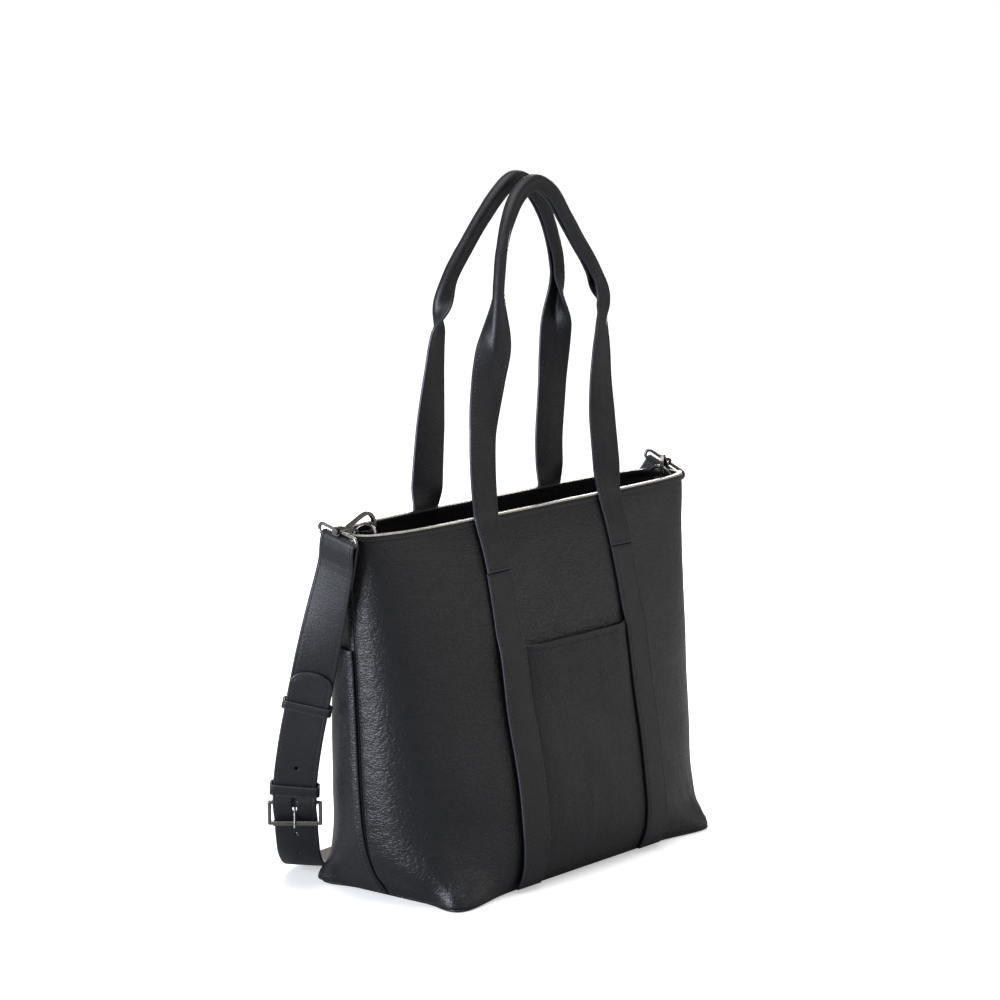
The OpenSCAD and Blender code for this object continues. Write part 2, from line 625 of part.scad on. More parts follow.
// The buckle: a frame with a heel bar, a roller on the far bar, and a prong.
bar_r = 1.6;
frame_half = half_strap + 3.2;
function bar_spot(i, o) = spot(i) + o * out_of(i);
HEEL_BAR = bar_spot(heel, -1.6);
FAR_BAR = bar_spot(roller_at, 1.8) + across(heel) * (across(heel) * (HEEL_BAR - spot(roller_at)));
frame_run = FAR_BAR - HEEL_BAR;
FRAME_X = across(heel);
FRAME_Y = unit(frame_run - (frame_run * FRAME_X) * FRAME_X);
FRAME_Z = cross(FRAME_X, FRAME_Y);
frame_len = frame_run * FRAME_Y;

// X runs along the bars and Y from the heel bar to the roller. -Z is the outer side.
module frame_space() multmatrix([
    [FRAME_X[0], FRAME_Y[0], FRAME_Z[0], HEEL_BAR[0]],
    [FRAME_X[1], FRAME_Y[1], FRAME_Z[1], HEEL_BAR[1]],
    [FRAME_X[2], FRAME_Y[2], FRAME_Z[2], HEEL_BAR[2]]]) children();

module bar_x(r, h) rotate([0, 90, 0]) cylinder(r = r, h = h, center = true);

module buckle_frame() color(gunmetal) frame_space() {
    for (y = [0, frame_len]) translate([0, y, 0]) bar_x(bar_r, 2 * frame_half);
    for (s = [-1, 1]) translate([s * frame_half, 0, 0]) {
        rotate([-90, 0, 0]) cylinder(r = bar_r, h = frame_len);
        for (y = [0, frame_len]) translate([0, y, 0]) sphere(r = bar_r);
    }
}

module buckle_roller() color(gunmetal) frame_space() translate([0, frame_len, 0])
    difference() {
        bar_x(bar_r + 1, 2 * half_strap);
        bar_x(bar_r + fit, 2 * half_strap + 2);
    }

// The prong turns on the heel bar and rests on the outside of the roller.
module buckle_prong() color(gunmetal) frame_space() difference() {
    union() {
        bar_x(bar_r + 1.3, 3.2);
        rest = bar_r + 1 + gap + 1.1;
        rise = atan2(rest, frame_len);
        rotate([180 - rise, 0, 0]) rotate([90, 0, 0]) cylinder(r = 1.1, h = frame_len / cos(rise) + 3);
    }
    bar_x(bar_r + fit, 6);
}

// ---- drawing ----------------------------------------------------------------------------------

bottom_panel();
base_board();
front_panel();
back_panel();
rim_binding();
top_facing();
lining();
front_pocket();
back_pocket();
front_left_strip();
front_right_strip();
back_left_strip();
back_right_strip();
front_handle_ends();
back_handle_ends();
front_handle();
back_handle();
inner_slip_pockets();
inner_zip_pocket();
zip_tape();
zip_slider();
zip_pull();
snap_stud();
snap_socket();
left_ring_tab();
right_ring_tab();
left_d_ring();
right_d_ring();
left_strap_loop();
right_strap_loop();
left_snap_claw();
right_snap_claw();
left_gate_pin();
right_gate_pin();
left_snap_gate();
right_snap_gate();
buckle_strap();
long_strap();
fixed_keeper();
sliding_keeper();
buckle_frame();
buckle_roller();
buckle_prong();
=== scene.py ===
import math

import bmesh
import bpy
import numpy as np
from mathutils import Matrix, Vector


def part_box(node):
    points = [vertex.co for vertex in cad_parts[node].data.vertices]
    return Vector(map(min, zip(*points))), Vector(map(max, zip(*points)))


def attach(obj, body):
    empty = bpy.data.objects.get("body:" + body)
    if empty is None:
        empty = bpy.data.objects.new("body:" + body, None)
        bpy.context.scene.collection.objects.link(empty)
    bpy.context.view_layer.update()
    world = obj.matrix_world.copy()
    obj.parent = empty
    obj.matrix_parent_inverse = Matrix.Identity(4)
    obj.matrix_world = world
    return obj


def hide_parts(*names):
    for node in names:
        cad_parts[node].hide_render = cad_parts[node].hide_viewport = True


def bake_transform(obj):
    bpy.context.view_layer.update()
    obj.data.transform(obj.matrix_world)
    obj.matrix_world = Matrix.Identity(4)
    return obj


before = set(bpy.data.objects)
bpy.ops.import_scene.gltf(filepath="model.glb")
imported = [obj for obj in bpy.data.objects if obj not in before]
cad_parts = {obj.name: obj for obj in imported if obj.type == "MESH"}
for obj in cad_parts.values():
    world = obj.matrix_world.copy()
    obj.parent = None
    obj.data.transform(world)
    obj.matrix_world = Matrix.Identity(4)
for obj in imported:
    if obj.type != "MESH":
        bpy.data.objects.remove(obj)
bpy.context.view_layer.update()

# The looks of the diaper bag. Geometry is worked out in millimetres in the frame of the CAD
# model (+X along the width, the front faces -Y, +Z up) and becomes metres in make_mesh().
MM = 0.001


def corner(node, which):
    """The low (0) or high (1) corner of a CAD node's box, in millimetres."""
    return np.array(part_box(node)[which]) / MM


# ---- driving sizes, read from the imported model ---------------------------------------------

BIND_T = 0.8
RIM_LEAN = 3.0
BAG_H = corner("rim_binding", 1)[2]
RIM_HALF = corner("rim_binding", 1)[0] - BIND_T
RIM_DEPTH = corner("rim_binding", 1)[1] - BIND_T - RIM_LEAN
BASE_HALF, BASE_DEPTH = corner("bottom_panel", 1)[:2]
PANEL_T = 2.6
FLOOR_Z = corner("bottom_panel", 1)[2]
FRONT_POCKET_H = corner("front_pocket", 1)[2]
BACK_POCKET_H = corner("back_pocket", 1)[2]
HINGE_Z = BAG_H + 3
STRIP_X = 88.0
STRIP_W = 32.0
STRIP_T = 2.8
HANDLE_END = corner("front_handle_ends", 0)[2]
FACING_Z = corner("top_facing", 0)[2]
GRIP_TOP = corner("front_handle", 1)[2] - 8.5
HANDLE_T = 3.0
POCKET_T = 2.0
POCKET_GAP = 7.0
GAP = 0.3
STRAP_HALF = 19.0
STRAP_T = 3.0
INSIDE = PANEL_T + GAP + 0.8        # from the outline to the inner face of the lining
SEAM_INSET = 3.2                    # from the edge of a strip or a handle to its stitches
SIDE_INSET = 3.4                    # from a side seam to its stitches
MOUTH_INSET = 7.0                   # from the mouth of an outer pocket to its stitches


# ---- smooth reading of a table of stations -------------------------------------------------

def smooth(x, table):
    """The table's other columns at x, by a cubic through its rows."""
    x = np.asarray(x, float)
    table = np.asarray(table, float)
    knots = table[:, 0]
    count = len(knots)
    i = np.clip(np.searchsorted(knots, x, "right") - 1, 0, count - 2)
    low = np.maximum(np.arange(count) - 1, 0)
    high = np.minimum(np.arange(count) + 1, count - 1)
    slope = (table[high] - table[low]) / (knots[high] - knots[low])[:, None]
    h = (knots[i + 1] - knots[i])[..., None]
    t = (x - knots[i])[..., None] / h
    value = ((2 * t ** 3 - 3 * t ** 2 + 1) * table[i] + (t ** 3 - 2 * t ** 2 + t) * h * slope[i]
             + (3 * t ** 2 - 2 * t ** 3) * table[i + 1] + (t ** 3 - t ** 2) * h * slope[i + 1])
    return value[..., 1:]


def ease(x, start, end):
    """From 0 before the start to 1 after the end, smoothly."""
    t = np.clip((np.asarray(x, float) - start) / (end - start), 0, 1)
    return t * t * (3 - 2 * t)


def bump(x, middle, width):
    return np.exp(-((np.asarray(x, float) - middle) / width) ** 2)


def unit(v):
    """The same directions, with length 1."""
    return v / np.maximum(np.linalg.norm(v, axis=-1, keepdims=True), 1e-9)


def distance(points):
    """Distance along a line of points from its first one."""
    return np.concatenate([[0], np.cumsum(np.linalg.norm(np.diff(points, axis=0), axis=1))])


def read_line(s, knots, values):
    """The values at distance s, with straight parts between the knots."""
    return np.stack([np.interp(s, knots, column) for column in values.T], -1)


def around(count):
    """Evenly spaced directions all the way round, in radians."""
    return np.arange(count) * 2 * math.pi / count


def nearest(values, *places):
    """The index of the value nearest to each place."""
    return [int(np.argmin(np.abs(values - place))) for place in places]


def noise(x, y, cell, seed):
    """Smooth value noise from -1 to 1, one random value to a cell."""
    size = 64
    table = np.random.default_rng(seed).uniform(-1, 1, (size, size))
    gx, gy = np.asarray(x, float) / cell, np.asarray(y, float) / cell
    ix, iy = np.floor(gx).astype(int), np.floor(gy).astype(int)
    fx, fy = gx - ix, gy - iy
    fx, fy = fx * fx * (3 - 2 * fx), fy * fy * (3 - 2 * fy)

    def at(i, j):
        return table[j % size, i % size]
    low = at(ix, iy) * (1 - fx) + at(ix + 1, iy) * fx
    high = at(ix, iy + 1) * (1 - fx) + at(ix + 1, iy + 1) * fx
    return low * (1 - fy) + high * fy


def lines(a, b, count, r, groove=0.0):
    """Places from a to b, close together in the rounded edges and across a stitch groove."""
    edge = r * np.array([0, 0.05, 0.18, 0.4, 0.7, 1.0])
    dip = groove + np.array([-0.8, -0.4, 0, 0.4, 0.8]) if groove else np.array([])
    near = np.concatenate([edge, dip])
    return np.unique(np.round(np.concatenate(
        [a + near, np.linspace(a + r, b - r, count), b - near]), 4))


# ---- the body's surface --------------------------------------------------------------------

# Height, half width, half depth, squareness and backward lean of the body's outline.
PROFILE = np.array([
    [0, BASE_HALF, BASE_DEPTH, 9, 0],
    [12, BASE_HALF + 10, BASE_DEPTH + 7.5, 5.5, 0],
    [28, BASE_HALF + 23, BASE_DEPTH + 13, 3.8, 0],
    [55, BASE_HALF + 33, BASE_DEPTH + 15, 2.7, 0],
    [100, BASE_HALF + 38, BASE_DEPTH + 10, 2.5, 0.5],
    [160, RIM_HALF - 8.5, BASE_DEPTH - 1.5, 2.5, 1],
    [230, RIM_HALF - 5, RIM_DEPTH + 28, 2.6, 2],
    [290, RIM_HALF - 1.5, RIM_DEPTH + 13.5, 3, 3],
    [BAG_H, RIM_HALF, RIM_DEPTH, 4, RIM_LEAN]])
FRONT, BACK = -1, 1
CORNER_SEAM = 80.0      # from a side seam to the corner of the base, along the leather


def wall(z, a, o=0.0):
    """A point of the outline at height z in direction a, moved outwards by o."""
    half, depth, n, lean = np.moveaxis(smooth(z, PROFILE), -1, 0)
    c, s = np.cos(a), np.sin(a)
    r = (np.abs(c) ** n + np.abs(s) ** n) ** (-1 / n)
    return np.stack([(half + o) * c * r, lean + (depth + o) * s * r, z + 0 * a], -1)


def ear(z, a):
    """How far the boxed corners of the base are pulled out past the outline."""
    return 14.0 * np.abs(np.sin(2 * a)) ** 26 * (1 - ease(z, 1, 34))


def face_y(x, z, side, o=0.0):
    """The front or back of the body at x and z, moved outwards by o."""
    half, depth, n, lean = np.moveaxis(smooth(z, PROFILE), -1, 0)
    q = np.minimum(1, np.abs(x) / (half + o))
    return lean + side * (depth + o) * (1 - q ** n) ** (1 / n)


def relief(side, x, z):
    """How far the soft body stands out of its outline. Every layer on the body follows it."""
    still = ease(z, 4, 40) * (1 - ease(z, 300, 326)) * (1 - ease(np.abs(x) / RIM_HALF, 0.86, 0.97))
    seed = 11 if side == FRONT else 23
    swell = 1.5 * noise(x + 400, z, 92, seed) + 0.8 * noise(x + 400, z, 47, seed + 1)
    folds = 0.45 * noise(x + 400, z * 0.35, 21, seed + 2)
    strips = bump(np.abs(x), STRIP_X, 20)
    return still * (swell * (1 - 0.5 * strips) + folds * (1 - 0.8 * strips))


# ---- meshes --------------------------------------------------------------------------------

def normals(P, wrap=False):
    """The normal at each point of a grid, along the cross product of its columns and rows."""
    if wrap:
        wide = np.concatenate([P[:, -1:], P, P[:, :1]], 1)
        dc = wide[:, 2:] - wide[:, :-2]
    else:
        dc = np.gradient(P, axis=1)
    return unit(np.cross(dc, np.gradient(P, axis=0)))


def make_mesh(name, verts, faces, uvs=None, material_index=None, materials=(), weld=False,
              face_out=False):
    """A smooth mesh piece. verts are in millimetres and uvs has one row for each face corner."""
    mesh = bpy.data.meshes.new(name)
    mesh.from_pydata((np.asarray(verts) * MM).tolist(), [], faces)
    if uvs is not None:
        layer = mesh.uv_layers.new(name="UVMap")
        layer.data.foreach_set("uv", np.asarray(uvs, np.float32).ravel())
    if material_index is not None:
        mesh.polygons.foreach_set("material_index", np.asarray(material_index, np.int32))
    for material in materials:
        mesh.materials.append(material)
    mesh.polygons.foreach_set("use_smooth", [True] * len(mesh.polygons))
    if weld or face_out:
        b = bmesh.new()
        b.from_mesh(mesh)
        if weld:
            bmesh.ops.remove_doubles(b, verts=b.verts, dist=1e-6)
        if face_out:
            bmesh.ops.recalc_face_normals(b, faces=b.faces)
        b.to_mesh(mesh)
        b.free()
    mesh.update()
    piece = bpy.data.objects.new(name, mesh)
    bpy.context.scene.collection.objects.link(piece)
    return piece


def lengths(P, axis):
    """Distance along one axis of a grid from its first line, in metres."""
    step = np.linalg.norm(np.diff(P, axis=axis), axis=-1)
    start = np.zeros_like(np.take(step, [0], axis=axis))
    return np.concatenate([start, np.cumsum(step, axis=axis)], axis=axis) * MM


def cells(rows, cols, wrap):
    """The row, the column and the next column of each cell of a grid."""
    i, j = np.meshgrid(np.arange(rows - 1), np.arange(cols if wrap else cols - 1), indexing="ij")
    i, j = i.ravel(), j.ravel()
    return i, j, (j + 1) % cols


def grid_uv(P, wrap):
    """Distances along the rows and columns of a grid. Rows are measured in the middle one."""
    closed = np.concatenate([P, P[:, :1]], 1) if wrap else P
    U, V = lengths(closed, 1), lengths(closed, 0)
    return np.stack([np.broadcast_to(U[len(P) // 2], U.shape), V], -1)


def slab(name, P, t, D, materials, r=None, groove=0.0, depth=0.25, puff=0.0, wrap=False,
         edge_share=0.8, weld=False, raise_by=None):
    """A closed sheet of thickness t round the mid surface P. D is each point's distance to the
    nearest free edge, where the sheet is rounded with radius r and takes the second material.
    The outer face may have a stitch groove at a distance from the edge, and a puff in its
    middle."""
    rows, cols = P.shape[:2]
    r = r or t / 2
    n = normals(P, wrap)
    h = t / 2 * np.sqrt(np.maximum(0, 1 - (1 - np.clip(D / r, 0, 1)) ** 2))
    out = h + puff * (1 - np.exp(-np.maximum(D, 0) / 3.0))
    if groove:
        out = out - depth * bump(D, groove, 0.45)
    if raise_by is not None:
        out = out + raise_by
    outer = P + n * out[..., None]
    inner = P - n * h[..., None]
    index = np.arange(rows * cols).reshape(rows, cols)
    edge = np.zeros((rows, cols), bool)
    edge[0] = edge[-1] = True
    if not wrap:
        edge[:, 0] = edge[:, -1] = True
    back = np.where(edge, index, 0)
    back[~edge] = rows * cols + np.arange((~edge).sum())
    verts = np.concatenate([outer.reshape(-1, 3), inner[~edge]])
    i, j, k = cells(rows, cols, wrap)
    front_faces = np.stack([index[i, j], index[i, k], index[i + 1, k], index[i + 1, j]], 1)
    back_faces = np.stack([back[i, j], back[i + 1, j], back[i + 1, k], back[i, k]], 1)
    uv = grid_uv(P, wrap)
    uv_front = np.stack([uv[i, j], uv[i, j + 1], uv[i + 1, j + 1], uv[i + 1, j]], 1)
    uv_back = np.stack([uv[i, j], uv[i + 1, j], uv[i + 1, j + 1], uv[i, j + 1]], 1)
    least = np.minimum.reduce([D[i, j], D[i, k], D[i + 1, k], D[i + 1, j]])
    rim = (least < edge_share * r).astype(int)
    return make_mesh(name, verts, np.concatenate([front_faces, back_faces]).tolist(),
                     np.concatenate([uv_front, uv_back]).reshape(-1, 2),
                     np.concatenate([rim, rim]), materials, weld=weld)


def skin(name, P, materials, which=None):
    """A closed surface through rings of points, each ring closed on itself."""
    rows, cols = P.shape[:2]
    index = np.arange(rows * cols).reshape(rows, cols)
    i, j, k = cells(rows, cols, True)
    faces = np.stack([index[i, j], index[i, k], index[i + 1, k], index[i + 1, j]], 1)
    uv = grid_uv(P, True)
    uvs = np.stack([uv[i, j], uv[i, j + 1], uv[i + 1, j + 1], uv[i + 1, j]], 1)
    picked = None if which is None else which[i]
    return make_mesh(name, P.reshape(-1, 3), faces.tolist(), uvs.reshape(-1, 2), picked,
                     materials, weld=True)


def resample(points, normal, pitch):
    """Evenly spaced points along a line, with the direction and the normal there."""
    s = distance(points)
    at = np.arange(pitch / 2, s[-1], pitch)
    along = unit(read_line(at + 0.5, s, points) - read_line(at - 0.5, s, points))
    up = read_line(at, s, normal)
    up -= along * (up * along).sum(1, keepdims=True)
    return read_line(at, s, points), along, unit(up)


def stitches(name, seams, pitch=4.0, length=2.9, r=0.36):
    """Rows of thread stitches. Each seam is a line of points and the surface normals there."""
    sides, sink = 6, 0.05
    ring_at = np.array([-1, -0.82, -0.3, 0.3, 0.82, 1.0])
    ring_r = np.array([0.25, 0.8, 1.0, 1.0, 0.8, 0.25])
    arc = 1 - ring_at ** 2
    turn = around(sides)
    verts, faces, base = [], [], 0
    for points, normal in seams:
        middle, along, up = resample(points, normal, pitch)
        across = np.cross(along, up)
        for m, t, n, w in zip(middle, along, up, across):
            for where, radius, rise in zip(ring_at, ring_r, arc):
                centre = m + t * where * length / 2 + n * (0.22 * rise - sink)
                verts.append(centre + radius * r * (np.cos(turn)[:, None] * n
                                                    + np.sin(turn)[:, None] * w))
            for ring in range(len(ring_at) - 1):
                for k in range(sides):
                    a = base + ring * sides + k
                    b = base + ring * sides + (k + 1) % sides
                    faces.append([a, b, b + sides, a + sides])
            faces.append([base + k for k in range(sides - 1, -1, -1)])
            top = base + (len(ring_at) - 1) * sides
            faces.append([top + k for k in range(sides)])
            base += sides * len(ring_at)
    return make_mesh(name + "_stitches", np.concatenate(verts), faces, materials=[THREAD],
                     face_out=True)


def dress(piece, body, slot, *nodes):
    """The piece rides on a body and stands for CAD nodes. The slot is not used."""
    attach(piece, body)
    if nodes:
        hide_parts(*nodes)
    return piece


def sew(name, seams, body="root", slot="black_leather", **thread):
    """Stitches that ride on a body."""
    dress(stitches(name, seams, **thread), body, slot)


def sheet(name, P, t, D, leather, body="root", **shape):
    """A leather slab that stands for the CAD node of its name. Returns it and its normals."""
    piece = slab(name + "_leather", P, t, D, [leather, EDGE], **shape)
    return dress(piece, body, "black_leather", name), normals(P, shape.get("wrap", False))


def seam_at(P, n, lift, where):
    """The seam through the points at an index of a grid, lifted off its mid surface."""
    return P[where] + n[where] * lift, n[where]


def edge_seams(P, n, lift, columns, rows):
    """One seam along each of some columns."""
    return [seam_at(P, n, lift, (rows, column)) for column in columns]


# ---- materials -----------------------------------------------------------------------------

class Nodes:
    """A small helper that builds one node tree from left to right."""

    def __init__(self, name):
        self.material = bpy.data.materials.new(name)
        self.material.use_nodes = True
        self.tree = self.material.node_tree
        self.shader = self.tree.nodes["Principled BSDF"]

    def add(self, kind, settings=None, **sockets):
        node = self.tree.nodes.new(kind)
        for key, value in (settings or {}).items():
            setattr(node, key, value)
        for key, value in sockets.items():
            self.set(node, key.replace("_", " "), value)
        return node

    def set(self, node, key, value):
        socket = node.inputs[int(key)] if key.isdigit() else node.inputs[key]
        if isinstance(value, bpy.types.NodeSocket):
            self.tree.links.new(value, socket)
        else:
            socket.default_value = value

    def shade(self, colour, roughness, **plain):
        """Sets the shader's colour, its roughness and other values."""
        for key, value in {"Base_Color": colour, "Roughness": roughness, **plain}.items():
            self.set(self.shader, key.replace("_", " "), value)

    def math(self, operation, a, b=0.0, kind="ShaderNodeMath"):
        node = self.add(kind, {"operation": operation})
        self.set(node, "0", a)
        self.set(node, "1", b)
        return node.outputs[0]

    def total(self, *terms):
        """The sum of values times their weights."""
        parts = [self.math("MULTIPLY", value, weight) for value, weight in terms]
        while len(parts) > 1:
            parts[:2] = [self.math("ADD", *parts[:2])]
        return parts[0]

    def noise(self, space, scale, detail, roughness=0.5, output=0):
        return self.add("ShaderNodeTexNoise", Vector=space, Scale=scale, Detail=detail,
                        Roughness=roughness).outputs[output]

    def ramp(self, value, low, high, start, end):
        node = self.tree.nodes.new("ShaderNodeMapRange")
        for key, number in (("Value", value), ("From Min", low), ("From Max", high),
                            ("To Min", start), ("To Max", end)):
            self.set(node, key, number)
        return node.outputs[0]

    def mix(self, share, a, b):
        node = self.tree.nodes.new("ShaderNodeMix")
        node.data_type = "RGBA"
        self.set(node, "0", share)
        node.inputs[6].default_value = (*a, 1)
        node.inputs[7].default_value = (*b, 1)
        return node.outputs[2]

    def space(self, scale, output="UV"):
        """Coordinates in millimetres, times scale."""
        place = self.add("ShaderNodeTexCoord")
        mapping = self.add("ShaderNodeMapping", Vector=place.outputs[output],
                           Scale=[1000 * s for s in scale])
        return mapping.outputs[0]

    def warp(self, space, scale, amount):
        """The same coordinates, pushed about by noise."""
        kind = "ShaderNodeVectorMath"
        field = self.noise(space, scale, 2.0, output="Color")
        centred = self.math("SUBTRACT", field, (0.5, 0.5, 0.5), kind)
        pushed = self.math("MULTIPLY", centred, (amount, amount, amount), kind)
        return self.math("ADD", space, pushed, kind)

    def finish(self, height, strength, distance):
        node = self.add("ShaderNodeBump", Height=height, Strength=strength, Distance=distance)
        self.set(self.shader, "Normal", node.outputs[0])
        return self.material


def leather(name, grain, stretch, crease, strength, rough, coat=0.04):
    """Pebbled leather: warped cells with fine wrinkles between and over them."""
    m = Nodes(name)
    space = m.warp(m.space(stretch), 0.11, 3.0)
    bumps = m.add("ShaderNodeTexVoronoi", {"feature": "SMOOTH_F1"}, Vector=space,
                  Scale=1 / grain, Smoothness=0.6)
    net = m.add("ShaderNodeTexVoronoi", {"feature": "DISTANCE_TO_EDGE"}, Vector=space,
                Scale=0.42 / grain)
    wrinkle_space = m.warp(m.space([s * f for s, f in zip(stretch, (1.0, 0.28, 1.0))]), 0.2, 2.2)
    wrinkle = m.noise(wrinkle_space, 0.55 / grain, 5.0, 0.62)
    fine = m.noise(space, 3.2, 2.0)
    broad = m.noise(m.space((1, 1, 1)), 0.035, 3.0)
    pebble = m.math("SUBTRACT", 1.0, bumps.outputs["Distance"])
    valley = m.ramp(net.outputs["Distance"], 0.0, 0.14, 0.0, 1.0)
    worn = m.total((broad, 0.6), (pebble, 0.4))
    # The colour is darker in the valleys between the pebbles, a painted shade, and also varies at
    # random in broad patches.
    m.shade(m.mix(m.total((valley, 0.45), (broad, 0.55)), BLACK, SOFT_BLACK),
            m.ramp(worn, 0.2, 0.8, rough[1], rough[0]),
            Coat_Weight=coat, Coat_Roughness=0.34, Specular_IOR_Level=0.34)
    height = m.total((pebble, 0.55), (valley, 0.25), (wrinkle, crease), (fine, 0.08))
    return m.finish(height, strength, 0.0006)


def edge_paint(name, colour, rough):
    """A leather edge, painted or turned, slightly uneven. On the rim it is a painted highlight."""
    m = Nodes(name)
    space = m.space((1, 1, 1), "Object")
    spots = m.noise(space, 0.5, 4.0)
    lighter = tuple(min(1.0, c * 1.7) for c in colour)
    m.shade(m.mix(m.ramp(spots, 0.35, 0.7, 0, 1), colour, lighter),
            m.ramp(spots, 0.3, 0.7, rough, rough + 0.16))
    return m.finish(spots, 0.3, 0.0004)


def thread_material():
    """Twisted sewing thread."""
    m = Nodes("black_thread")
    space = m.space((1, 1, 1), "Object")
    twist = m.add("ShaderNodeTexWave", {"wave_type": "BANDS", "bands_direction": "DIAGONAL"},
                  Vector=space, Scale=1.6, Distortion=1.0).outputs[1]
    m.shade(m.mix(twist, (0.009, 0.009, 0.011), (0.035, 0.035, 0.04)),
            m.ramp(twist, 0, 1, 0.6, 0.45), Sheen_Weight=0.2)
    return m.finish(twist, 0.5, 0.0003)


def woven(name, dark, light, pitch=0.8, output="UV"):
    """Plain weave: two crossed sets of threads with uneven yarn."""
    m = Nodes(name)
    space = m.warp(m.space((1, 1, 1), output), 0.3, 0.25)
    yarns = [m.add("ShaderNodeTexWave", {"wave_type": "BANDS", "wave_profile": "SIN",
                                         "bands_direction": direction}, Vector=space,
                   Scale=0.31 / pitch).outputs[1] for direction in ("X", "Y")]
    weave = m.math("MAXIMUM", *yarns)
    uneven = m.noise(m.space((1, 0.1, 1), output), 0.6, 3.0)
    m.shade(m.mix(m.total((weave, 0.75), (uneven, 0.25)), dark, light),
            m.ramp(weave, 0, 1, 0.9, 0.7), Sheen_Weight=0.35, Sheen_Roughness=0.5)
    return m.finish(weave, 0.6, 0.0003)


def metal(name, dark, light, rough=(0.16, 0.3)):
    """Gunmetal plating: dark, polished, with faint scratches and handling marks."""
    m = Nodes(name)
    space = m.space((1, 1, 1), "Object")
    smear = m.noise(space, 0.12, 4.0)
    scratch = m.noise(m.warp(m.space((0.15, 0.15, 2.2), "Object"), 0.5, 0.6), 2.5, 3.0)
    marks = m.total((smear, 0.6), (scratch, 0.4))
    m.shade(m.mix(smear, dark, light), m.ramp(marks, 0.3, 0.7, rough[0], rough[1]), Metallic=1.0)
    return m.finish(scratch, 0.08, 0.0001)


def board_material():
    """The stiff grey board in the base, covered in a fibrous paper."""
    m = Nodes("base_board")
    space = m.space((1, 1, 1), "Object")
    fibre = m.noise(m.warp(space, 0.4, 2.0), 0.9, 6.0, 0.7)
    m.shade(m.mix(fibre, (0.07, 0.068, 0.066), (0.16, 0.155, 0.15)),
            m.ramp(fibre, 0.3, 0.7, 0.75, 0.95))
    return m.finish(fibre, 0.4, 0.0004)


def floor_material():
    """A white paper sweep that glows with painted light and throws little back at the object."""
    m = Nodes("studio_floor")
    space = m.space((1, 1, 1), "Object")
    away = m.add("ShaderNodeVectorMath", {"operation": "LENGTH"})
    m.set(away, "0", space)
    # Painted light: the floor glows weaker near the bag than far from it.
    m.shade(m.mix(m.noise(space, 0.004, 2.0), (0.86, 0.86, 0.87), (0.9, 0.9, 0.9)), 0.8,
            Specular_IOR_Level=0.1, Emission_Color=(1, 1, 1, 1),
            Emission_Strength=m.ramp(away.outputs["Value"], 450, 1600, 0.42, 0.95))
    shade = m.add("ShaderNodeBsdfDiffuse", Color=(0.38, 0.38, 0.38, 1))
    path = m.add("ShaderNodeLightPath")
    pick = m.add("ShaderNodeMixShader")
    m.set(pick, "0", path.outputs["Is Camera Ray"])
    m.set(pick, "1", shade.outputs[0])
    m.set(pick, "2", m.shader.outputs[0])
    m.tree.links.new(pick.outputs[0], m.tree.nodes["Material Output"].inputs[0])
    return m.material


BLACK, SOFT_BLACK = (0.0045, 0.0045, 0.006), (0.0105, 0.0105, 0.013)
PANEL = leather("panel_leather", grain=1.45, stretch=(0.6, 1.0, 1.0), crease=1.2, strength=0.85,
                rough=(0.28, 0.44), coat=0.06)
FRONT_LEATHER = leather("pocket_leather", grain=1.2, stretch=(1.0, 0.5, 1.0), crease=1.1,
                        strength=0.8, rough=(0.34, 0.48))
STRAP_LEATHER = leather("strap_leather", grain=1.0, stretch=(1.0, 1.0, 1.0), crease=0.45,
                        strength=0.42, rough=(0.34, 0.5))
EDGE = edge_paint("edge_paint", (0.010, 0.011, 0.016), 0.3)
# Light cream for the rim's top bead: a painted highlight along the edge.
RIM_HIGHLIGHT = edge_paint("rim_painted_highlight", (0.30, 0.285, 0.25), 0.22)
THREAD = thread_material()
LINING = woven("lining_fabric", (0.05, 0.052, 0.058), (0.13, 0.135, 0.15))
TAPE = woven("zip_tape", (0.012, 0.012, 0.014), (0.035, 0.035, 0.04), pitch=0.6,
             output="Object")
GUNMETAL = metal("gunmetal", (0.13, 0.125, 0.12), (0.24, 0.23, 0.22))
TEETH = metal("zip_teeth", (0.2, 0.19, 0.175), (0.34, 0.32, 0.3), rough=(0.22, 0.38))
BOARD = board_material()


# ---- body: panels, bottom, rim, facing and lining ------------------------------------------

def panel_grid(side, z_rows, count, o_of):
    """Rows of points from one side seam to the other, evenly spaced along the leather. o_of
    says how far each stands out of the outline. Also returns the distance to the seams."""
    ends = (math.pi, 2 * math.pi) if side == FRONT else (0.0, math.pi)
    dense = np.linspace(*ends, 900)
    mid = wall(np.full_like(dense, 150.0), dense)
    s = distance(mid)
    share = lines(0, s[-1], count, 2.0, SIDE_INSET)
    a = np.interp(share, s, dense)
    z, turn = np.meshgrid(z_rows, a, indexing="ij")
    where = wall(z, turn)
    seam = np.minimum(share, s[-1] - share)[None, :] + 0 * z
    o = o_of(where[..., 0], z, seam) + ear(z, turn)
    return wall(z, turn, o), seam, z


def side_seams(P, n, lift, seam):
    """The stitch rows beside both side seams."""
    count = seam.shape[1]
    first, = nearest(seam[0][:count // 2], SIDE_INSET)
    return edge_seams(P, n, lift, (first, count - 1 - first), slice(4, -5))


def corner_creases(seam, z):
    """Creases that run up from the pinched corners of the base, by distance from the seam."""
    across, up = seam - CORNER_SEAM, z - FLOOR_Z
    away = np.hypot(across, up)
    fan = np.sin(15 * np.arctan2(up, across) + 1.4 * noise(across + 200, up, 16, 71))
    pinch = bump(across, 0, 3.2) * (1 - ease(z, 6, 20))
    return 0.8 * fan * np.exp(-away / 30) * ease(away, 6, 16) * ease(z, 3, 12) - 1.3 * pinch


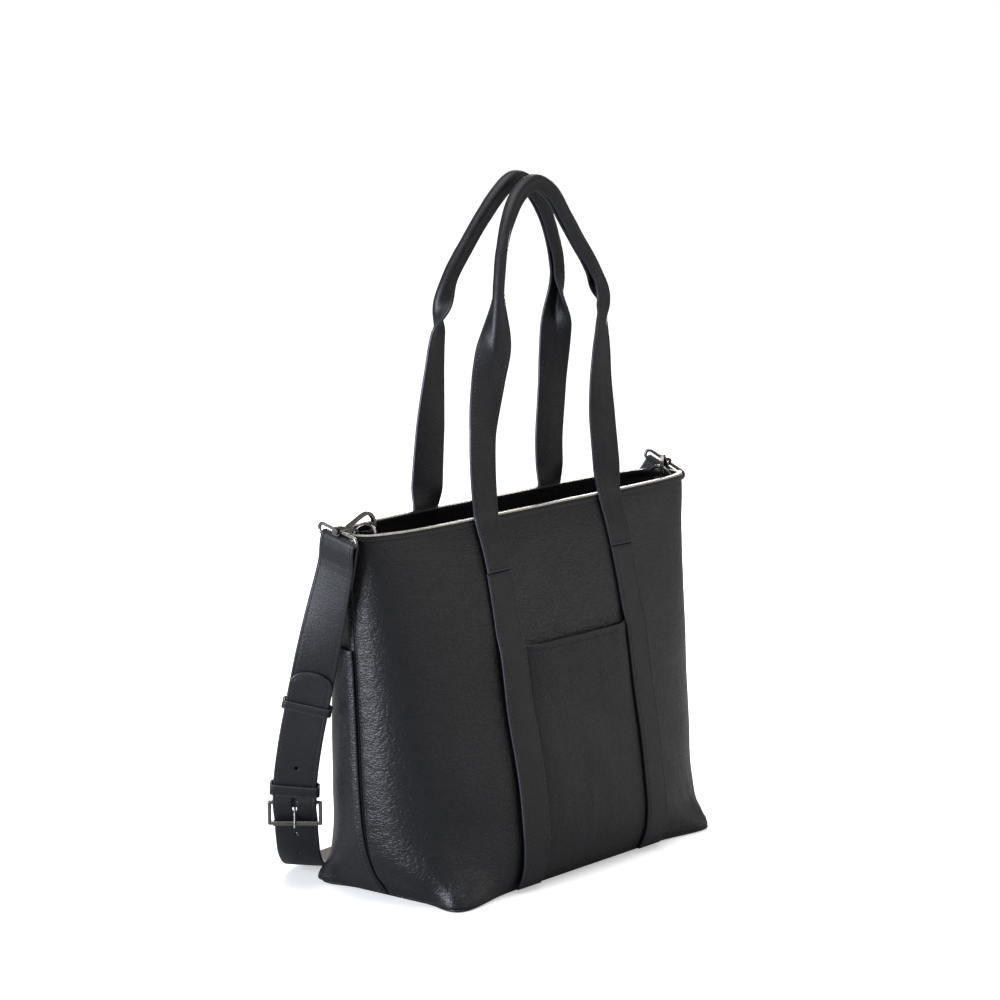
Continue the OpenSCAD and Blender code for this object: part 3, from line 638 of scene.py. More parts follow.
def body_panel(side):
    z_rows = lines(FLOOR_Z + GAP, BAG_H - 4.0, 105, 2.4)
    top = z_rows[-1]

    def stand(x, z, seam):
        tucked = 0.35 * ease(z, BAG_H - 9, BAG_H - 7)
        ridge = 0.7 * bump(seam, 5.5, 3.4) - 0.5 * bump(seam, 0, 1.6)
        pucker = 0.22 * np.sin(z / 2.9) * bump(seam, 6, 5) * (1 - ease(z, 300, 322))
        near_rim = 0.7 * bump(z, 305, 22) * np.sin(seam / 5.2) * np.exp(-seam / 30)
        creases = corner_creases(seam, z) if side == FRONT else 0
        return relief(side, x, z) - PANEL_T / 2 - tucked + ridge + pucker + near_rim + creases
    P, seam, z = panel_grid(side, z_rows, 150, stand)
    D = np.minimum(np.minimum(seam, z - z_rows[0]), top - z)
    name = "front_panel" if side == FRONT else "back_panel"
    _, n = sheet(name, P, PANEL_T, D, PANEL, r=1.6, edge_share=0.3)
    sew(name + "_side", side_seams(P, n, PANEL_T / 2, seam))


def bottom_panel():
    turn = around(260)
    shares = [0.0, 0.35, 0.7, 0.9]
    profile = [(-3.5, 0.0), (-1.4, 0.12), (-0.5, 0.5), (0.1, 1.2), (0.2, 2.0), (-0.1, 2.7),
               (-1.0, FLOOR_Z), (-3.5, FLOOR_Z)]

    def ring(o):
        return wall(0 * turn, turn, o + ear(0.0, turn))
    rings = [ring(profile[0][0]) * share for share in shares]
    rings += [ring(o) + [0, 0, z] for o, z in profile]
    rings += [ring(profile[-1][0]) * share + [0, 0, FLOOR_Z] for share in reversed(shares)]
    piece = skin("bottom_panel_leather", np.array(rings), [PANEL, EDGE])
    dress(piece, "root", "black_leather", "bottom_panel")


def rim_binding():
    """The rim: a light top bead, a painted highlight, over a narrow sewn band, outside and inside.
    """
    z0 = BAG_H - 7
    profile = [(0.0, z0), (0.28, z0 + 0.4), (0.34, z0 + 2.6), (0.22, z0 + 3.9), (-0.15, z0 + 4.5),
               (0.35, z0 + 4.9), (0.75, z0 + 5.5), (0.75, z0 + 6.2), (0.35, z0 + 6.8),
               (-0.4, z0 + 7), (-1.4, z0 + 6.7), (-2.4, z0 + 6.5), (-3.4, z0 + 6.7),
               (-4.4, z0 + 6.6), (-4.9, z0 + 5.8), (-4.8, z0 + 4.4), (-4.75, z0),
               (-4.2, z0 - 0.1), (-2.4, z0 + 0.1), (-0.4, z0 - 0.05)]
    turn = around(320)
    dip = 0.5 * noise(np.cos(turn) * 300 + 600, np.sin(turn) * 60 + 300, 70, 5)
    rings = []
    for o, z in profile + profile[:1]:
        ring = wall(z + 0 * turn, turn, o)
        ring[:, 2] = np.minimum(z + dip * 0.6 - 0.3, BAG_H)
        rings.append(ring)
    # The top bead rows take the light colour, a painted highlight.
    bead = np.array([1 if 6 <= k <= 8 else 0 for k in range(len(profile))])
    piece = skin("rim_binding_leather", np.array(rings), [STRAP_LEATHER, RIM_HIGHLIGHT], bead)
    dress(piece, "root", "black_leather", "rim_binding")
    closed = np.append(turn, 0.0)
    ring = wall(z0 + 2.0 + 0 * closed, closed, 0.35)
    sew("rim", [(ring, unit(ring * [1, 1, 0]))], r=0.26, length=2.4)


def inner_facing():
    inset = 5.0
    z_rows = lines(FACING_Z, BAG_H - 6, 14, 0.7, inset)
    turn = around(300)
    z, a = np.meshgrid(z_rows, turn, indexing="ij")
    mid = -(PANEL_T + GAP + 0.7)
    soft = 0.5 * noise(np.cos(a) * 220 + 500, z * 0.5 + np.sin(a) * 40, 34, 8) - 0.4
    P = wall(z, a, mid + soft * (1 - ease(z, BAG_H - 20, BAG_H - 8)))
    D = np.minimum(z - z_rows[0], z_rows[-1] - z)
    sheet("top_facing", P, 1.4, D, STRAP_LEATHER, wrap=True)
    closed = np.append(turn, 0.0)
    ring = wall(FACING_Z + inset + 0 * closed, closed, mid - 0.9)
    sew("facing", [(ring, unit(-ring * [1, 1, 0]))])


def lining():
    """The fabric sack: its floor, and walls that crease inwards."""
    floor_z = FLOOR_Z + 3.7
    turn = around(280)
    x, y = np.cos(turn) * 220, np.sin(turn) * 80
    rings = []
    for share in (0.0, 0.2, 0.45, 0.7, 0.88, 0.97):
        ring = wall(14.0 + 0 * turn, turn, -5.5) * share
        ripple = 0.25 * noise(ring[:, 0] + 300, ring[:, 1] + 300, 40, 31)
        ring[:, 2] = floor_z + ripple
        rings.append(ring)
    for z in np.concatenate([[9.0], np.linspace(14, FACING_Z - 1, 70)]):
        fold = 0.5 + 0.5 * noise(x * 1.1 + 500, z * 0.35 + y * 1.4 + 300, 26, 41)
        loose = ease(z, 14, 60) * (1 - ease(z, 250, 276))
        o = -(PANEL_T + GAP + 0.45) - 1.7 * fold * loose - (2.5 if z < 10 else 0)
        rings.append(wall(z + 0 * turn, turn, o))
    P = np.array(rings)
    D = np.full(P.shape[:2], 50.0)
    D[-1] = 0.0
    piece = slab("lining_fabric", P, 0.8, D, [LINING, LINING], wrap=True, weld=True)
    dress(piece, "root", "lining_fabric", "lining")


# ---- outer pockets and strips --------------------------------------------------------------

def pocket_open(x, z, half, height):
    """How far the pocket's sheet stands off the panel."""
    return GAP + (POCKET_GAP - GAP) * (1 - np.minimum(1, np.abs(x) / half) ** 8) * z / height


def front_pocket():
    half = STRIP_X - STRIP_W / 2
    tucked = 6                      # how far the sheet reaches under the strips
    x_cols = lines(-half - tucked, half + tucked, 80, 1.0)
    z_rows = lines(FLOOR_Z + GAP, FRONT_POCKET_H, 96, 1.3, MOUTH_INSET)
    z, x = np.meshgrid(z_rows, x_cols, indexing="ij")
    o = pocket_open(x, z, half, FRONT_POCKET_H) + POCKET_T / 2 + relief(FRONT, x, z)
    inside = 1 - np.minimum(1, np.abs(x) / half) ** 6
    slack = 0.5 * noise(x + 200, z * 0.25, 17, 61) + 0.25 * noise(x + 200, z * 0.2, 7, 62)
    lip = 0.6 * bump(z, FRONT_POCKET_H - 3, 4)
    o = o + slack * inside * ease(z, 10, 60) + lip
    P = np.stack([x, face_y(x, z, FRONT, o), z], -1)
    D = np.minimum(FRONT_POCKET_H - z, np.minimum(half + tucked - np.abs(x), z - z_rows[0]))
    _, n = sheet("front_pocket", P, POCKET_T, D, FRONT_LEATHER, groove=MOUTH_INSET, depth=0.35)
    row, = nearest(z_rows, FRONT_POCKET_H - MOUTH_INSET)
    sew("front_pocket", [seam_at(P, n, POCKET_T / 2 - 0.3, (row, np.abs(x_cols) < half))])


def back_pocket():
    """One sheet over the whole back, divided into three bays by the strips."""
    inner = STRIP_X - STRIP_W / 2 - 6
    outer = STRIP_X + STRIP_W / 2 + 6
    z_rows = lines(FLOOR_Z + GAP, BACK_POCKET_H, 90, 1.3, MOUTH_INSET)

    def stand(x, z, seam):
        q = np.abs(x)
        side_bay = 1 - np.abs(2 * (q - outer) / (RIM_HALF - outer) - 1) ** 4
        bay = np.where(q < inner, 1 - (q / inner) ** 6, np.where(q < outer, 0, side_bay))
        bay = np.maximum(bay, 0)
        slack = 0.5 * noise(x + 300, z * 0.25, 19, 71) * bay * ease(z, 10, 60)
        ridge = 0.8 * bump(seam, 5, 3.2) - 0.4 * bump(seam, 0, 1.6)
        return (GAP + (POCKET_GAP - GAP) * bay * z / BACK_POCKET_H + POCKET_T / 2
                + relief(BACK, x, z) + slack + ridge + 0.6 * bump(z, BACK_POCKET_H - 3, 4))
    P, seam, z = panel_grid(BACK, z_rows, 140, stand)
    D = np.minimum(np.minimum(BACK_POCKET_H - z, seam), z - z_rows[0])
    _, n = sheet("back_pocket", P, POCKET_T, D, PANEL, edge_share=0.6)
    row, = nearest(z_rows, BACK_POCKET_H - MOUTH_INSET)
    sew("back_pocket", [seam_at(P, n, POCKET_T / 2, (row, slice(8, -8)))]
        + side_seams(P, n, POCKET_T / 2, seam))


def strip_lift(side, z):
    """The strips ride over the pocket and come down to the panel above its mouth."""
    mouth = FRONT_POCKET_H if side == FRONT else BACK_POCKET_H
    return 0.5 + 2.3 * (1 - ease(z, mouth - 8, mouth + 18))


def panel_strip(side, hand):
    x0, half, top = hand * STRIP_X, STRIP_W / 2, HANDLE_END - 0.2
    local = lines(-half, half, 12, STRIP_T / 2, SEAM_INSET)
    z_rows = lines(FLOOR_Z + GAP, top, 80, STRIP_T / 2)
    z, x = np.meshgrid(z_rows, x0 + local, indexing="ij")
    o = strip_lift(side, z) + STRIP_T / 2 + relief(side, x, z)
    o = o + 0.3 * noise(x * 0 + 50 * hand + 200, z, 38, 81 + side)
    wander = 0.5 * noise(z * 0 + 30 * hand, z, 55, 85 + side)
    P = np.stack([x + wander, face_y(x, z, side, o), z], -1)
    D = np.minimum(half - np.abs(x - x0), np.minimum(top - z, z - z_rows[0]))
    if side == BACK:
        P, D = P[:, ::-1], D[:, ::-1]
    name = f"{'front' if side == FRONT else 'back'}_{'left' if hand < 0 else 'right'}_strip"
    _, n = sheet(name, P, STRIP_T, D, STRAP_LEATHER, groove=SEAM_INSET, depth=0.3, puff=0.25,
                 edge_share=0.75)
    columns = nearest(local, SEAM_INSET - half, half - SEAM_INSET)
    sew(name, edge_seams(P, n, STRIP_T / 2, columns, slice(3, -3)), r=0.32)


# ---- handles -------------------------------------------------------------------------------

# Each handle's middle line from its left foot over the top to its right foot: x, z and lean
# towards the other handle. part.scad has the same rows.
HANDLES = {
    FRONT: [[-STRIP_X, HINGE_Z, 0], [-92, 375, 0], [-90, 408, 1], [-82, 445, 2], [-70, 480, 4],
            [-62, 515, 7], [-56, 537, 10], [-49, 557, 13], [-37, 580, 16.5], [-21, 599, 20],
            [-3, GRIP_TOP - 1, 21.5], [12, GRIP_TOP, 22], [28, 601, 20], [42, 580, 16.5],
            [57, 557, 13], [71, 537, 10], [82, 515, 7], [86, 497, 5], [83, 478, 4],
            [79, 455, 2], [77, 428, 1], [79, 400, 1], [82, 370, 0], [STRIP_X, HINGE_Z, 0]],
    BACK: [[-STRIP_X, HINGE_Z, 0], [-84, 375, 0], [-80, 425, 1], [-77, 468, 3], [-76, 494, 5],
           [-71, 515, 7], [-61, 537, 10], [-47, 557, 13], [-30, 580, 16.5], [-14, 599, 20],
           [3, GRIP_TOP + 1, 21.5], [18, GRIP_TOP + 2, 22], [38, 601, 20], [59, 580, 16.5],
           [74, 557, 13], [84, 537, 10], [90, 515, 7], [91, 494, 5], [92, 470, 3],
           [92, 440, 1], [90, 405, 0], [87, 370, 0], [STRIP_X, HINGE_Z, 0]]}
# How the strap's outer face turns from the front or back towards the end of the bag, by
# height, for the left and the right leg of each handle.
TURNS = {
    FRONT: ([[BAG_H, 0], [400, 5], [450, 30], [480, 50], [550, 60], [600, 90]],
            [[BAG_H, 0], [350, -10], [400, -8], [460, 10], [500, 30], [525, 90]]),
    BACK: ([[BAG_H, 0], [345, -20], [400, -10], [450, 10], [485, 20], [520, 90]],
           [[BAG_H, 0], [345, 12], [425, 15], [470, 30], [505, 70], [520, 90]])}
# How far the strap is folded round its spine, by height: flat, then a closed grip.
EARLY_FOLD = [[BAG_H, 0], [440, 0], [470, 25], [500, 130], [525, 200]]
LATE_FOLD = [[BAG_H, 0], [470, 0], [490, 25], [510, 130], [530, 200]]
SPINE_R = 3.6
FOOT_Z = [291, 301, 311, 321]       # stations up the sewn foot of a handle, above its end


def interpolate(table, z):
    table = np.array(table, float)
    return np.interp(z, table[:, 0], table[:, 1])


def handle(side):
    """A strap from one sewn foot over the top to the other. It is flat low down, and folded
    round a spine in the grip. Below the hinge it stays with the bag."""
    name = "front_handle" if side == FRONT else "back_handle"
    lift = BIND_T + GAP + STRIP_T / 2
    base_y = RIM_DEPTH + lift

    def foot(x):
        return [(x, face_y(x, z, side, lift + relief(side, x, z)), z)
                for z in [HANDLE_END + 0.2, *FOOT_Z]]
    grip = [(x, RIM_LEAN + side * (base_y - lean), z) for x, z, lean in HANDLES[side]]
    path = np.array(foot(-STRIP_X) + grip + foot(STRIP_X)[::-1])
    chord = distance(path)
    s = lines(0, chord[-1], 380, HANDLE_T / 2, SEAM_INSET)
    C = smooth(s, np.concatenate([chord[:, None], path], 1))
    T = unit(np.gradient(C, s, axis=0))
    F = unit(np.array([0.0, side, 0.0]) - T * (T[:, 1:2] * side))
    O = -side * np.cross(F, T)
    on_left = s < s[-1] / 2
    window = np.hanning(9) / np.hanning(9).sum()

    def degrees(on_one, one, other):
        angle = np.radians(np.where(on_one, *[interpolate(t, C[:, 2]) for t in (one, other)]))
        return np.convolve(np.pad(angle, 4, mode="edge"), window, "valid")
    turn = degrees(on_left, *TURNS[side])
    fold = degrees(on_left == (side == FRONT), EARLY_FOLD, LATE_FOLD)
    N = np.cos(turn)[:, None] * F + np.sin(turn)[:, None] * O
    W = np.cross(T, N)
    half = STRIP_W / 2
    w = lines(-half, half, 26, HANDLE_T / 2, SEAM_INSET)
    bend = np.maximum(fold, 1e-3)[:, None] / 2
    spine = SPINE_R * (1 + 0.15 * noise(s, 0 * s, 30, 91))[:, None]
    arc = np.minimum(np.abs(w)[None, :], spine * bend)
    flank = np.abs(w)[None, :] - arc
    x = np.sign(w) * (spine * np.sin(arc / spine) + flank * np.cos(arc / spine))
    y = spine * (np.cos(arc / spine) - 1) - flank * np.sin(arc / spine)
    y = y - (y.max(1, keepdims=True) + y.min(1, keepdims=True)) / 2
    P = C[:, None] + x[..., None] * W[:, None] + y[..., None] * N[:, None]
    ends = np.minimum(s, s[-1] - s)[:, None]
    D = np.minimum(half - np.abs(w)[None, :], ends + 0 * w[None, :])
    slack = 0.18 * noise(w[None, :] * 2 + 300, s[:, None], 9, 95)
    slack = slack * (1 - 0.2 * ease(C[:, 2:3], 300, 340)) * np.minimum(D / 3, 1)
    piece = slab(name + "_leather", P, HANDLE_T, D, [STRAP_LEATHER, EDGE], groove=SEAM_INSET,
                 depth=0.3, puff=0.2, edge_share=0.75, raise_by=slack)
    n = normals(P)
    columns = nearest(w, SEAM_INSET - half, half - SEAM_INSET)
    seams = edge_seams(P, n, HANDLE_T / 2, columns, slice(6, -6))
    seams += [seam_at(P, n, HANDLE_T / 2, (row, slice(8, -8)))
              for row in nearest(s, SEAM_INSET, s[-1] - SEAM_INSET)]
    sewn = stitches(name, seams, r=0.32)
    for part in (piece, sewn):
        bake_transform(part)
    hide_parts(name, name + "_ends")


# ---- cross-body strap ----------------------------------------------------------------------

# Places along the strap's middle line: x, y, z, the turn of its width about +Z, and how far
# the long piece stands out from that line.
ROUTE = np.array([
    [-245, 0.2, 319.5, 0, 1.7], [-245.5, 6, 296, 4, 1.7], [-245, 14.5, 266, 12, 1.7],
    [-243.6, 24, 234, 24, 1.7], [-242, 32.5, 206, 34, 1.7], [-240.4, 42, 174, 34, 1.7],
    [-238.8, 51.5, 142, 34, 1.7], [-235.5, 60.5, 110, 36, 1.7], [-232.8, 64.5, 93, 38, 1.7],
    [-230.8, 66.6, 83, 38, 3.4], [-227, 69, 65, 38, -3.2], [-219, 75, 47, 38, -2.5],
    [-202, 88, 27, 36, -1], [-178, 104, 11.5, 30, 0], [-150, 116, 4.6, 20, 0],
    [-110, 124, 2, 10, 0], [-55, 128, 2, 3, 0], [0, 129, 2, 0, 0], [60, 128, 2, -2, 0],
    [105, 124, 2.2, -6, 0], [140, 118, 7.5, -8, 0], [163, 111, 22, -4, 0],
    [177, 104, 46, 4, 0], [186, 96, 84, 14, 0], [193, 87, 130, 24, 0], [201, 76, 180, 30, 0],
    [211, 62, 230, 32, 0], [222, 46, 272, 31, 0], [232, 30, 303, 30, 0], [238, 20, 322, 30, 0]])
# Rows of that table: the long piece's tip, the keepers, and the bar that holds the buckle.
TIP, SLIDING_AT, FIXED_AT, HEEL = 4, 5, 8, 9


class Route:
    """The strap's middle line, read by the distance s along it from the left loop."""

    def __init__(self, places):
        index = np.arange(len(places), dtype=float)
        fine = np.linspace(0, len(places) - 1, 2400)
        values = smooth(fine, np.concatenate([index[:, None], places], 1))
        self.p = values[:, :3]
        self.s = distance(self.p)
        self.fine = fine
        self.along = unit(np.gradient(self.p, self.s, axis=0))
        yaw = np.radians(values[:, 3])
        width = np.stack([np.sin(yaw), -np.cos(yaw), 0 * yaw], 1)
        self.across = unit(width - self.along * (width * self.along).sum(1, keepdims=True))
        self.out = np.cross(self.along, self.across)
        self.rise = values[:, 4]

    def place(self, index):
        """The distance to a row of the table."""
        return float(np.interp(index, self.fine, self.s))

    def point(self, s, w, o):
        """The point at distance s, w across the strap and o out of it."""
        s = np.asarray(s, float)
        inside = np.clip(s, 0, self.s[-1])
        beyond = (s - inside)[..., None]
        at, along, across, out = [read_line(inside, self.s, values) for values in
                                  (self.p, self.along, self.across, self.out)]
        return (at + beyond * along + np.asarray(w, float)[..., None] * across
                + np.asarray(o, float)[..., None] * out)


route = Route(ROUTE)
STRAP_INSET = 3.0       # from the edge of the strap to its stitches


def ribbon(name, path, t, half_of, rows_sewn):
    """A strap whose middle line is a list of (s, o) places. half_of gives the half width at
    each distance along that line. Returns the piece and the seams along both edges."""
    path = np.array(path, float)
    run = distance(path)
    rows = lines(0, run[-1], int(run[-1] / 2.2), t / 2)
    s, o = np.interp(rows, run, path[:, 0]), np.interp(rows, run, path[:, 1])
    share = lines(-STRAP_HALF, STRAP_HALF, 16, 1.4, STRAP_INSET)[::-1] / STRAP_HALF
    half = half_of(rows)[:, None]
    w = share[None, :] * half
    P = route.point(s[:, None] + 0 * w, w, o[:, None] + 0 * w)
    D = np.minimum(half - np.abs(w), np.minimum(rows, run[-1] - rows)[:, None])
    piece, n = sheet(name, P, t, D, STRAP_LEATHER, groove=STRAP_INSET, depth=0.28, puff=0.2,
                     edge_share=0.75)
    inset = 1 - STRAP_INSET / STRAP_HALF
    return piece, edge_seams(P, n, t / 2, nearest(share, -inset, inset), rows_sewn)


def arc(centre_s, centre_o, r, start, end, count=14):
    """Places round a bar, from one direction to another in degrees, 0 along +s."""
    a = np.radians(np.linspace(start, end, count))
    return [(centre_s + r * math.cos(k), centre_o + r * math.sin(k)) for k in a]


def strap():
    """The short piece with the buckle, and the long piece that runs through it."""
    heel_s = route.place(HEEL)
    t = 2.5
    top = -5.6
    loop_r = 1.5 + 0.1 + t / 2
    bar_r = 1.6 + 0.1 + t / 2
    path = [(34, -4.4), (18, -4.3), (6, -3.6)]
    path += arc(top, 0, loop_r, 270, 90)
    path += [(2, 2.4), (8, 1.0), (15, -0.8), (23, -1.6), (40, -1.65)]
    path += [(s, -1.65) for s in np.arange(60, heel_s - 22, 20)]
    path += [(heel_s - 18, -1.5), (heel_s - 8, 0.2)]
    path += arc(heel_s, -1.6, bar_r, 90, -90)
    path += [(heel_s - 9, -4.3), (heel_s - 30, -4.3)]
    _, seams = ribbon("buckle_strap", path, t, lambda r: np.full(len(r), STRAP_HALF),
                      slice(4, -4))
    w = np.linspace(-STRAP_HALF + 2.5, STRAP_HALF - 2.5, 20)
    for s in (17.0, 24.0):
        o = float(np.interp(s, [15, 23, 40], [-0.8, -1.6, -1.65])) + t / 2 + 0.12
        seams.append((route.point(s + 0 * w, w, o + 0 * w),
                      read_line(s + 0 * w, route.s, route.out)))
    sew("buckle_strap", seams, r=0.33)

    tip_s = route.place(TIP)
    end_s = float(route.s[-1])
    run = np.arange(tip_s, end_s - 24, 2.0)
    rise = np.interp(run, route.s, route.rise)
    path = [(tip_s, rise[0])] + list(zip(run[1:], rise[1:]))
    path += [(end_s - 14, 1.2), (end_s - 4, 2.6)]
    path += arc(end_s + 4.2, 0, loop_r + 0.25, 90, -90)
    path += [(end_s - 6, -3.4), (end_s - 18, -3.1), (end_s - 36, -3.0)]

    def half_of(r):
        reach = 15.0
        blunt = (1 - np.clip(1 - r / reach, 0, 1) ** 2.4) ** (1 / 2.4)
        return np.maximum(STRAP_HALF * blunt, 0.4)
    piece, seams = ribbon("long_strap", path, STRAP_T - 0.2, half_of, slice(9, -4))
    punch(piece, [tip_s + 92, tip_s + 122, heel_s + 34, heel_s + 64], heel_s)
    sew("long_strap", seams, r=0.33)


def rod(a, b, r):
    """The points and faces of a round bar from a to b."""
    sides = 20
    d = unit(b - a)
    side = unit(np.cross(d, [0.3, 0.5, 0.81]))
    up = np.cross(d, side)
    turn = around(sides)
    ring = r * (np.cos(turn)[:, None] * side + np.sin(turn)[:, None] * up)
    verts = np.concatenate([a + ring, b + ring])
    faces = [[k, (k + 1) % sides, sides + (k + 1) % sides, sides + k] for k in range(sides)]
    faces += [list(range(sides - 1, -1, -1)), list(range(sides, 2 * sides))]
    return verts, faces


def punch(piece, holes, heel_s):
    """Cuts the adjustment holes and the prong's slot through the long strap."""
    cuts = [(s, 1.7) for s in holes] + [(heel_s + k, 2.3) for k in (-5, -2.5, 0, 2.5, 5)]
    cutters = []
    for s, r in cuts:
        rise = np.interp(s, route.s, route.rise)
        a, b = [route.point(s, 0.0, rise + o) for o in (-6, 6)]
        cutter = make_mesh("hole_cutter", *rod(a, b, r), face_out=True)
        cut = piece.modifiers.new("hole", "BOOLEAN")
        cut.object = cutter
        cut.operation = "DIFFERENCE"
        cut.solver = "EXACT"
        cutters.append(cutter)
    bpy.context.view_layer.update()
    graph = bpy.context.evaluated_depsgraph_get()
    mesh = bpy.data.meshes.new_from_object(piece.evaluated_get(graph))
    piece.modifiers.clear()
    piece.data = mesh
    for cutter in cutters:
        bpy.data.objects.remove(cutter)


def keeper(name, s0, width, body):
    """A leather band round the strap, with its join sewn underneath."""
    t, inset = 2.0, 2.0
    a, b, corner_r = STRAP_HALF + 1.7, 4.9, 2.6
    loop = []
    for cx, cy, start in ((a, b, 0), (-a, b, 90), (-a, -b, 180), (a, -b, 270)):
        mx, my = cx - math.copysign(corner_r, cx), cy - math.copysign(corner_r, cy)
        for k in np.radians(np.linspace(start, start + 90, 7)):
            loop.append((mx + corner_r * math.cos(k), my + corner_r * math.sin(k)))
    loop = np.array(loop + loop[:1])
    run = distance(loop)
    dense = np.linspace(0, run[-1], 90, endpoint=False)
    w, o = np.interp(dense, run, loop[:, 0]), np.interp(dense, run, loop[:, 1])
    rows = lines(-width / 2, width / 2, 4, 0.9, inset)
    sag = 0.25 * np.cos(w / a * 1.5)
    P = np.array([route.point(s0 + k + 0 * w, w, o + sag * np.sign(o)) for k in rows])
    D = (width / 2 - np.abs(rows))[:, None] + 0 * w[None, :]
    across = np.cross(P[1, 1] - P[1, 0], P[2, 0] - P[1, 0])
    outward = P[1, 0] - P[1].mean(0)
    if across @ outward < 0:
        P, D = P[::-1], D[::-1]
    _, n = sheet(name, P, t, D, STRAP_LEATHER, body, r=0.9, groove=inset, depth=0.22, wrap=True,
                 edge_share=0.75)
    closed = list(range(len(w))) + [0]
    seams = [seam_at(P, n, t / 2 - 0.1, (row, closed)) for row in (4, len(rows) - 5)]
    sew(name, seams, body, pitch=3.0, length=2.0, r=0.26)


# ---- ring tabs, inner pockets and zip ------------------------------------------------------

def ring_tab(hand):
    """A leather tab folded round the D-ring's bar and sewn inside the end of the bag."""
    name = "left_ring_tab" if hand < 0 else "right_ring_tab"
    low, high = corner(name, 0), corner(name, 1)
    x0, y0 = (low[0] + high[0]) / 2, (low[1] + high[1]) / 2
    half = (high[1] - low[1]) / 2
    bar_z = high[2] - 3.35
    t = 1.5
    r = 1.75 + t / 2
    path = [(-1.15, low[2]), (-1.15, bar_z - 12), (-1.6, bar_z - 5)]
    path += arc(0, bar_z, r, 190, -10, 15)
    path += [(1.6, bar_z - 5), (1.15, bar_z - 12), (1.15, low[2])]
    path = np.array(path)
    run = distance(path)
    inset = 2.6
    rows = lines(0, run[-1], 40, t / 2)
    cols = lines(-half, half, 8, t / 2, inset)
    px, pz = np.interp(rows, run, path[:, 0]), np.interp(rows, run, path[:, 1])
    P = np.stack(np.broadcast_arrays(x0 + px[:, None], y0 - cols[None, :], pz[:, None]), -1)
    D = np.minimum(half - np.abs(cols)[None, :], np.minimum(rows, run[-1] - rows)[:, None])
    _, n = sheet(name, P, t, D, STRAP_LEATHER, groove=inset, depth=0.2)
    seams = []
    for z in (bar_z - 8, low[2] + 4):
        for far in (rows > run[-1] / 2, rows < run[-1] / 2):
            row = int(np.argmin(np.abs(pz - z) + 100 * far))
            seams.append(seam_at(P, n, t / 2, (row, slice(4, -4))))
    sew(name, seams, pitch=2.8, length=2.0, r=0.28)


def slip_pockets():
    """Two gathered, elastic-topped pockets on the inside of the front."""
    half, low, high, inset = 130.0, 60.0, 168.0, 8.0
    x_cols = lines(-half, half, 170, 0.6)
    z_rows = lines(low, high, 46, 0.6, inset)
    z, x = np.meshgrid(z_rows, x_cols, indexing="ij")
    bay = 1 - np.abs(2 * np.abs(x) / half - 1) ** 6
    stand = 14 * bay * np.clip((z - low) / (high - low), 0, 1) ** 0.6
    gather = (0.9 * np.sin(x / 2.1 + 1.5 * noise(x + 300, z, 30, 7)) * bay
              * (0.25 + 0.75 * bump(z, high - inset, 12)) * ease(z, low + 4, low + 40))
    P = np.stack([x, face_y(x, z, FRONT, -(INSIDE + GAP + 2.2 + stand + gather)), z], -1)
    D = np.minimum(half - np.abs(x), np.minimum(z - low, high - z))
    piece = slab("inner_slip_pockets_fabric", P[:, ::-1], 1.0, D[:, ::-1], [LINING, LINING],
                 groove=inset, depth=0.5)
    dress(piece, "root", "lining_fabric", "inner_slip_pockets")


def zip_pocket():
    """The pouch that hangs behind the lining from the zip."""
    low, high = corner("inner_zip_pocket", 0), corner("inner_zip_pocket", 1)
    half, inset = high[0], 5.0
    x_cols = lines(-half, half, 60, 0.8)
    z_rows = lines(low[2], high[2], 44, 0.8, inset)
    z, x = np.meshgrid(z_rows, x_cols, indexing="ij")
    sag = 0.6 * noise(x + 300, z, 30, 17) * ease(z, low[2], low[2] + 15)
    P = np.stack([x, face_y(x, z, BACK, -(INSIDE + GAP + 1.8 + sag)), z], -1)
    D = np.minimum(half - np.abs(x), np.minimum(z - low[2], high[2] - z))
    piece = slab("inner_zip_pocket_fabric", P, 1.6, D, [LINING, LINING], groove=inset,
                 depth=0.3)
    dress(piece, "root", "lining_fabric", "inner_zip_pocket")


def box(centre, x, y, z, size):
    """The corners and faces of a block with edges along the directions x, y and z."""
    verts = [centre + sx * x * size[0] / 2 + sy * y * size[1] / 2 + sz * z * size[2] / 2
             for sz in (-1, 1) for sy in (-1, 1) for sx in (-1, 1)]
    faces = [[0, 2, 3, 1], [4, 5, 7, 6], [0, 1, 5, 4], [2, 6, 7, 3], [0, 4, 6, 2], [1, 3, 7, 5]]
    return verts, faces


